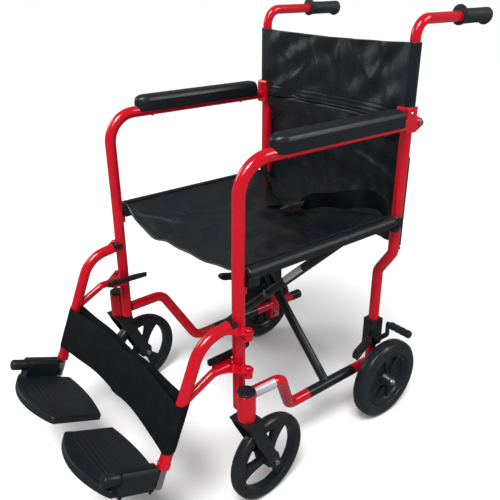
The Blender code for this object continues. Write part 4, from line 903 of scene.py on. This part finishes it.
def upper_back():
    """Upper back panel: a sling sleeved on both canes, with a centre crease, level rows of stitches and a top
    edge that dips at the middle."""
    shape = bpy.context.scene.wheelchair_shape
    x, depth, into = sling_section(POST_X, CANE_R + SLEEVE_CLOTH, 60, 76)
    v = np.linspace(0, 1, 80)[:, None]
    low, high = BACK_Z + 0.001, 0.9205
    level = low * (1 - v) + high * v
    middle_in = 1 - (1 - into) ** 2
    sag = (0.022 * (1 - v) + 0.012 * v) * middle_in
    top_dip = 0.006 * middle_in * v ** 6
    rows = sum(groove(level - z, 0.0014, 0.0011) for z in (0.762, 0.772, 0.782)) * np.clip(into * 12, 0, 1)
    crease = groove(x, 0.0022, 0.0016) + groove(np.abs(x) - POST_X + 0.024, 0.0015, 0.0010)
    folds = wrinkles(x[None, :], level, 11, shape.wrinkle) * np.clip(into * 6, 0, 1)
    folds = folds - pull_folds(x[None, :], level, BACK_FOLDS) * np.clip(into * 5, 0, 1)
    skin = np.stack([x + 0 * v, POST_Y + depth + sag + rows + crease + folds, level - top_dip + 0 * x], -1)
    cloth = (skin.reshape(-1, 3), grid_faces(*skin.shape[:2]))
    obj = add_piece("back_cloth_upper", [cloth], "nylon", "back_left", ["back_upper"], cloth_plane="xz",
                    thick=0.0024, sharp=80)
    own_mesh(obj)


def step(value, low, high):
    """0 below low, 1 above high, and a smooth cubic between."""
    t = np.clip((value - low) / (high - low), 0, 1)
    return t * t * (3 - 2 * t)


def lower_back():
    """Lower back panel: level with the upper one at the hinge, then behind the posts. Its half width and its
    edge depth change with height by smooth steps, and a power curve across gives the hollow at the middle."""
    shape = bpy.context.scene.wheelchair_shape
    u, v = np.linspace(-1, 1, 90)[None, :], np.linspace(0, 1, 90)[:, None]
    low, high = JOG_TOP + 0.016, BACK_Z + 0.009
    level = low * (1 - v) + high * v
    edge_y = POST_Y + 0.0142 - 0.0242 * step(level, 0.700, 0.742)
    half = 0.2375 - 0.0238 * step(level, 0.676, 0.700)
    mid_y = 0.2945 - 0.0215 * v
    x = half * u
    into = 1 - np.abs(u)
    y = edge_y + (mid_y - edge_y) * (1 - (1 - into) ** 2.2)
    rows = sum(groove(level - z, 0.0014, 0.0011) for z in (0.746, 0.736, 0.726))
    crease = groove(x, 0.0022, 0.0018) + groove(into, 0.012, 0.0012)
    soft = np.clip(into * 6, 0, 1)
    folds = (wrinkles(x, level, 17, shape.wrinkle) - pull_folds(x, level, BACK_FOLDS)) * soft
    y = y + rows * soft + crease + folds + 0.0040 * step(level, 0.7515, 0.7550)
    skin = np.stack([x, y, level + 0 * u], -1)
    obj = add_piece("back_cloth_lower", [(skin.reshape(-1, 3), grid_faces(90, 90))], "nylon", "left_frame",
                    ["back_lower"],
                    cloth_plane="xz", thick=0.0024, sharp=80)
    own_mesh(obj)


def back_pocket():
    """Map pocket behind the lower panel: a sheet that bellies out to the rear, with a hemmed mouth."""
    u, v = np.linspace(-1, 1, 60)[None, :], np.linspace(0, 1, 50)[:, None]
    x, z = 0.232 * u, 0.464 + 0.330 * v
    belly = (1 - u ** 2) * (0.022 - 0.010 * v)
    bulge = 0.013 * np.sin(math.pi * v ** 0.8) * (1 - u ** 6)
    hem = 0.0016 * np.exp(-((v - 0.96) / 0.02) ** 2)
    soft = np.clip((1 - np.abs(u)) * 6, 0, 1)
    y = POST_Y + 0.0185 + belly + bulge + hem + wrinkles(x, z, 23, 0.012) * soft
    skin = np.stack([x + 0 * v, y, z + 0 * u], -1)
    obj = add_piece("back_pocket", [(skin.reshape(-1, 3), grid_faces(50, 60))], "nylon", "left_frame",
                    cloth_plane="xz", thick=0.0016, sharp=80)
    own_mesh(obj)


def ribbon(path, across, half, thick):
    """A flat strap: a thin rectangle carried along a path, with its width along the given directions."""
    path, across = np.asarray(path, float), unit(np.asarray(across, float))
    along = unit(np.gradient(path, axis=0))
    face = unit(np.cross(along, across))
    s = np.array([-1, -0.9, 0.9, 1, 1, 0.9, -0.9, -1.0]) * half
    t = np.array([0.3, 0.5, 0.5, 0.3, -0.3, -0.5, -0.5, -0.3]) * thick
    ring = path[:, None] + across[:, None] * s[None, :, None] + face[:, None] * t[None, :, None]
    length = np.concatenate([[0], np.cumsum(np.linalg.norm(np.diff(path, axis=0), axis=1))])
    uv = np.stack([np.broadcast_to(length[:, None], ring.shape[:2]), np.broadcast_to(s, ring.shape[:2])], -1)
    return rings(ring), uv.reshape(-1, 2)


def strap_line(level):
    """The hanger tube's axis at a height."""
    return HANGER_END[1] - DOWN[1] * (HANGER_END[2] - level) / DOWN[2]


def calf_strap(side, sign):
    """Calf strap half: two layers of wide webbing, slack between the hanger tube and the middle."""
    lap = 0.014 if side == "left" else -0.0006
    x = np.linspace(-lap, HANGER_X, 34)
    mid, half, web = 0.268, 0.050, 0.0016
    line = strap_line(mid)
    t = x / HANGER_X
    belly = 0.016 * (1 - t ** 2)
    lean = unit(-DOWN)
    sag = 0.004 * np.cos(x * 34) * (1 - t) + 0.003 * (1 - t ** 2)
    parts, uvs = [], []
    for offset in (-(HANGER_R + 0.0016), HANGER_R * 0.2 + 0.012):
        squeeze = offset * (0.22 + 0.78 * t ** 2) if offset > 0 else offset * (0.55 + 0.45 * t ** 2)
        front = -0.0019 * np.clip((0.03 - x) / 0.015, 0, 1) if side == "left" else 0.0
        path = np.stack([x, line + belly + squeeze + front, mid - sag + 0 * x], -1)
        wide = np.broadcast_to(lean, path.shape)
        skin, uv = ribbon(path, wide, half, web)
        parts.append(skin)
        uvs.append(uv)
    a = np.linspace(-math.pi / 2, math.pi / 2, 16)
    loop = np.stack([HANGER_X + (HANGER_R + 0.0018) * np.cos(a), line + (HANGER_R + 0.0016) * np.sin(a),
                     np.full(16, mid)], -1)
    skin, uv = ribbon(loop, np.broadcast_to(lean, loop.shape), half, web)
    parts.append(skin)
    uvs.append(uv)
    obj = add_piece("calf_web_" + side, parts, "webbing", "hanger_" + side, ["calf_strap_" + side], sign,
                    uv=np.concatenate(uvs))
    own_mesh(obj)


def lap_belt(side, sign):
    """Lap belt half: webbing that leaves the seat's rear corner, humps and lies on the seat to the buckle."""
    w, z = SEAT_X - 0.012, SEAT_Z
    knots = np.array([(w, 0.236, z + 0.021), (0.90 * w, 0.222, z + 0.040), (0.76 * w, 0.205, z + 0.048),
                      (0.60 * w, 0.184, z + 0.045), (0.45 * w, 0.160, z + 0.035),
                      (0.30 * w, 0.140, z + 0.020),
                      (0.20 * w, 0.128, z + 0.010), (0.016, 0.112, z - 0.004)])
    t = np.linspace(0, len(knots) - 1, 60)
    path = np.stack([np.interp(t, np.arange(len(knots)), knots[:, k]) for k in range(3)], -1)
    kernel = np.hanning(13) / np.hanning(13).sum()
    padded = np.concatenate([np.repeat(path[:1], 6, 0), path, np.repeat(path[-1:], 6, 0)])
    path = np.stack([np.convolve(padded[:, k], kernel, "valid") for k in range(3)], -1)
    along = unit(np.gradient(path, axis=0))
    stand = np.clip(np.minimum(np.linspace(1.9, 0, 60), 1.0), 0, 1)[:, None] ** 0.8
    ruffle = 0.22 * np.sin(np.linspace(0, 15, 60))[:, None]
    across = unit(np.cross(Z_AXIS, along) * (1 - stand + ruffle) + Z_AXIS * stand * 0.9)
    path = path + Z_AXIS * (0.006 * np.sin(np.linspace(0, 11, 60)) * stand[:, 0])[:, None]
    skin, uv = ribbon(path, across, 0.0215, 0.0016)
    parts, uvs = [skin], [uv]
    obj = add_piece("belt_web_" + side, parts, "webbing", side + "_frame", ["lap_belt_" + side], sign,
                    uv=np.concatenate(uvs))
    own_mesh(obj)
    if side == "left":
        end, far = path[44], path[59]
        head = unit(end - far)
        wide = unit(np.cross(Z_AXIS, head))
        rows = []
        for s, half, tall in ((-0.012, 0.012, 0.004), (-0.008, 0.022, 0.0065), (0.016, 0.026, 0.0075),
                              (0.022, 0.019, 0.0065), (0.034, 0.019, 0.0065), (0.042, 0.025, 0.0070),
                              (0.056, 0.023, 0.0050)):
            outline = smooth_profile(mirrored([(half, -tall), (half, tall)]), 0.0028)
            centre = far + head * s + np.array([0, 0, 0.006])
            rows.append(centre + wide * outline[:, :1] + Z_AXIS * outline[:, 1:])
        buckle = add_piece("belt_buckle", [rings(np.array(rows))], "moulded", "left_frame")
        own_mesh(buckle)


# ------------------------------------------------------------------ floor, light and camera
def studio():
    """Pale floor, soft lights and the camera."""
    scene = bpy.context.scene
    tone = bpy.data.materials.new("floor")
    tone.use_nodes = True
    shader = tone.node_tree.nodes["Principled BSDF"]
    shader.inputs["Base Color"].default_value = (0.93, 0.93, 0.935, 1)
    shader.inputs["Roughness"].default_value = 0.6
    shader.inputs["Specular IOR Level"].default_value = 0.0
    mesh = bpy.data.meshes.new("floor")
    corners = [(a * FLOOR_REACH, b * FLOOR_REACH, -0.0005) for a, b in ((-1, -1), (1, -1), (1, 1), (-1, 1))]
    mesh.from_pydata(corners, [], [(0, 1, 2, 3)])
    mesh.materials.append(tone)
    floor = bpy.data.objects.new("floor", mesh)
    scene.collection.objects.link(floor)
    floor.visible_glossy = False
    world = bpy.data.worlds.new("studio")
    world.use_nodes = True
    sky = world.node_tree.nodes["Background"]
    sky.inputs["Strength"].default_value = 0.36
    sky.inputs["Color"].default_value = (1.0, 1.0, 1.0, 1)
    result, seen = sky.outputs[0], world.node_tree.nodes.new("ShaderNodeLightPath")
    for ray, strength in (("Is Glossy Ray", 0.16), ("Is Camera Ray", 1.0)):
        other = world.node_tree.nodes.new("ShaderNodeBackground")
        other.inputs["Color"].default_value = (1.0, 1.0, 1.0, 1)
        other.inputs["Strength"].default_value = strength
        pick = world.node_tree.nodes.new("ShaderNodeMixShader")
        wire(world.node_tree, (seen.outputs[ray], pick.inputs[0]), (result, pick.inputs[1]),
             (other.outputs[0], pick.inputs[2]))
        result = pick.outputs[0]
    wire(world.node_tree, (result, world.node_tree.nodes["World Output"].inputs[0]))
    scene.world = world
    scene.view_settings.view_transform = "Standard"
    for name, place, size, power in (("key_light", (0.9, -1.9, 3.2), 1.5, 30),
                                     ("fill_light", (-2.6, -1.4, 2.0), 1.4, 26),
                                     ("rim_light", (2.2, 1.9, 2.6), 1.2, 30)):
        light = bpy.data.lights.new(name, "AREA")
        light.size, light.energy = size, power
        obj = bpy.data.objects.new(name, light)
        spot = np.array(place)
        aim = unit(spot - np.array([0, 0, 0.45]))
        side = unit(np.cross(Z_AXIS, aim))
        obj.matrix_world = as_matrix(side, np.cross(aim, side), aim, spot)
        scene.collection.objects.link(obj)
    sun = bpy.data.lights.new("soft_sun", "SUN")
    sun.energy, sun.angle = 2.6, math.radians(24)
    obj = bpy.data.objects.new("soft_sun", sun)
    aim = unit(np.array([0.35, -0.45, 1.0]))
    side = unit(np.cross(Z_AXIS, aim))
    obj.matrix_world = as_matrix(side, np.cross(aim, side), aim, np.array([0, 0, 4.0]))
    scene.collection.objects.link(obj)
    lens = bpy.data.cameras.new("camera")
    lens.sensor_width, lens.lens = 36.0, CAMERA_LENS
    lens.clip_start, lens.clip_end = 0.05, 60
    camera = bpy.data.objects.new("camera", lens)
    azimuth, elevation = CAMERA_AZIMUTH, CAMERA_ELEVATION
    back = np.array([math.sin(azimuth) * math.cos(elevation), -math.cos(azimuth) * math.cos(elevation),
                     math.sin(elevation)])
    right = unit(np.cross(Z_AXIS, back))
    camera.matrix_world = as_matrix(right, np.cross(back, right), back, CAMERA_PLACE)
    scene.collection.objects.link(camera)
    scene.camera = camera


def as_matrix(x, y, z, place):
    """A placing matrix from three directions and a point."""
    rows = [[float(x[k]), float(y[k]), float(z[k]), float(place[k])] for k in range(3)]
    return Matrix(rows + [[0, 0, 0, 1]])


# ------------------------------------------------------------------ settings
def colour_setting(name, default):
    """A colour that a user can change."""
    return bpy.props.FloatVectorProperty(name=name, description=name + " colour, linear", subtype="COLOR",
                                         size=3,
                                         min=0.0, max=1.0, default=default)


class WheelchairColours(bpy.types.PropertyGroup):
    """Colours of the finishes."""
    enamel: colour_setting("Frame enamel", (0.50, 0.0015, 0.012))
    powder_coat: colour_setting("Black powder coat", (0.008, 0.010, 0.012))
    moulded: colour_setting("Moulded plastic", (0.010, 0.014, 0.017))
    pad_foam: colour_setting("Arm pad", (0.009, 0.012, 0.015))
    tyre_rubber: colour_setting("Tyre", (0.012, 0.016, 0.020))
    grip_rubber: colour_setting("Grip", (0.015, 0.020, 0.025))
    zinc_plate: colour_setting("Zinc plate", (0.62, 0.65, 0.67))
    chrome: colour_setting("Chrome", (0.78, 0.79, 0.80))
    label: colour_setting("Blank label", (0.55, 0.54, 0.60))
    nylon: colour_setting("Nylon", (0.0060, 0.0105, 0.0145))
    piping: colour_setting("Piping", (0.005, 0.007, 0.009))
    webbing: colour_setting("Webbing", (0.0045, 0.0055, 0.0065))


class WheelchairShape(bpy.types.PropertyGroup):
    """Sizes of the fine shape."""
    tube_sides: bpy.props.IntProperty(name="Tube sides", description="Sides of each round tube", default=40,
                                      min=12, max=96)
    seat_sag: bpy.props.FloatProperty(name="Seat sag", description="Dip of the seat at its middle",
                                      default=0.030,
                                      min=0.0, max=0.08, unit="LENGTH")
    front_slack: bpy.props.FloatProperty(name="Front slack", description="Extra dip of the seat's front edge",
                                         default=0.018, min=0.0, max=0.05, unit="LENGTH")
    wrinkle: bpy.props.FloatProperty(name="Wrinkles", description="Height of soft folds against their length",
                                     default=0.012, min=0.0, max=0.05)


# ------------------------------------------------------------------ operators
class WHEELCHAIR_OT_stage(bpy.types.Operator):
    """Set the floor, the lights, the camera and the shared surface groups"""
    bl_idname = "wheelchair.stage"
    bl_label = "Stage"

    def execute(self, context):
        for make in (grain_group, weave_group, ribs_group):
            tree = make()
            GROUPS[tree.name] = tree
        studio()
        return {"FINISHED"}


class WHEELCHAIR_OT_frames(bpy.types.Operator):
    """Build the painted side frames and the small fittings on them"""
    bl_idname = "wheelchair.frames"
    bl_label = "Side frames"

    def execute(self, context):
        for side, sign in SIDES:
            side_frame(side, sign)
            fittings(side)
            arm_pad(side, sign)
        return {"FINISHED"}


class WHEELCHAIR_OT_brace(bpy.types.Operator):
    """Build the cross brace with its sleeves and seat rails"""
    bl_idname = "wheelchair.brace"
    bl_label = "Cross brace"

    def execute(self, context):
        brace()
        labels()
        return {"FINISHED"}


class WHEELCHAIR_OT_wheels(bpy.types.Operator):
    """Build the rear wheels and the front casters"""
    bl_idname = "wheelchair.wheels"
    bl_label = "Wheels"

    def execute(self, context):
        for side, sign in SIDES:
            rear_wheel(side, sign)
            caster(side, sign)
        return {"FINISHED"}


class WHEELCHAIR_OT_hangers(bpy.types.Operator):
    """Build the swing-away hangers, stems and footplates"""
    bl_idname = "wheelchair.hangers"
    bl_label = "Hangers and footrests"

    def execute(self, context):
        for side, sign in SIDES:
            hanger(side, sign)
            footrest(side, sign)
        return {"FINISHED"}


class WHEELCHAIR_OT_back_tubes(bpy.types.Operator):
    """Build the folding back tubes with their grips and locks"""
    bl_idname = "wheelchair.back_tubes"
    bl_label = "Back tubes"

    def execute(self, context):
        for side, sign in SIDES:
            back_tube(side, sign)
        return {"FINISHED"}


class WHEELCHAIR_OT_upholstery(bpy.types.Operator):
    """Build the seat sling, the two back panels and the pocket"""
    bl_idname = "wheelchair.upholstery"
    bl_label = "Upholstery"

    def execute(self, context):
        seat_sling()
        upper_back()
        lower_back()
        back_pocket()
        return {"FINISHED"}


class WHEELCHAIR_OT_straps(bpy.types.Operator):
    """Build the calf strap and the lap belt"""
    bl_idname = "wheelchair.straps"
    bl_label = "Straps"

    def execute(self, context):
        for side, sign in SIDES:
            calf_strap(side, sign)
            lap_belt(side, sign)
        return {"FINISHED"}


STEPS = (WHEELCHAIR_OT_stage, WHEELCHAIR_OT_frames, WHEELCHAIR_OT_brace, WHEELCHAIR_OT_wheels,
         WHEELCHAIR_OT_hangers,
         WHEELCHAIR_OT_back_tubes, WHEELCHAIR_OT_upholstery, WHEELCHAIR_OT_straps)


class WHEELCHAIR_PT_panel(bpy.types.Panel):
    """Buttons and settings of the wheelchair"""
    bl_idname = "WHEELCHAIR_PT_panel"
    bl_label = "Wheelchair"
    bl_space_type = "VIEW_3D"
    bl_region_type = "UI"
    bl_category = "Wheelchair"

    def draw(self, context):
        for settings in (context.scene.wheelchair_shape, context.scene.wheelchair_colours):
            box = self.layout.box()
            for name in settings.__annotations__:
                box.prop(settings, name)
        for step in STEPS:
            self.layout.operator(step.bl_idname)


CLASSES = (WheelchairColours, WheelchairShape, *STEPS, WHEELCHAIR_PT_panel)


def register():
    """Adds the classes and the two groups of settings."""
    for cls in CLASSES:
        bpy.utils.register_class(cls)
    bpy.types.Scene.wheelchair_colours = bpy.props.PointerProperty(type=WheelchairColours)
    bpy.types.Scene.wheelchair_shape = bpy.props.PointerProperty(type=WheelchairShape)


def unregister():
    """Takes away what register adds."""
    del bpy.types.Scene.wheelchair_shape
    del bpy.types.Scene.wheelchair_colours
    for cls in reversed(CLASSES):
        bpy.utils.unregister_class(cls)


def main():
    register()
    build = bpy.ops.wheelchair
    for step in (build.stage, build.frames, build.brace, build.wheels, build.hangers, build.back_tubes,
                 build.upholstery, build.straps):
        step()


if __name__ == "__main__":
    main()
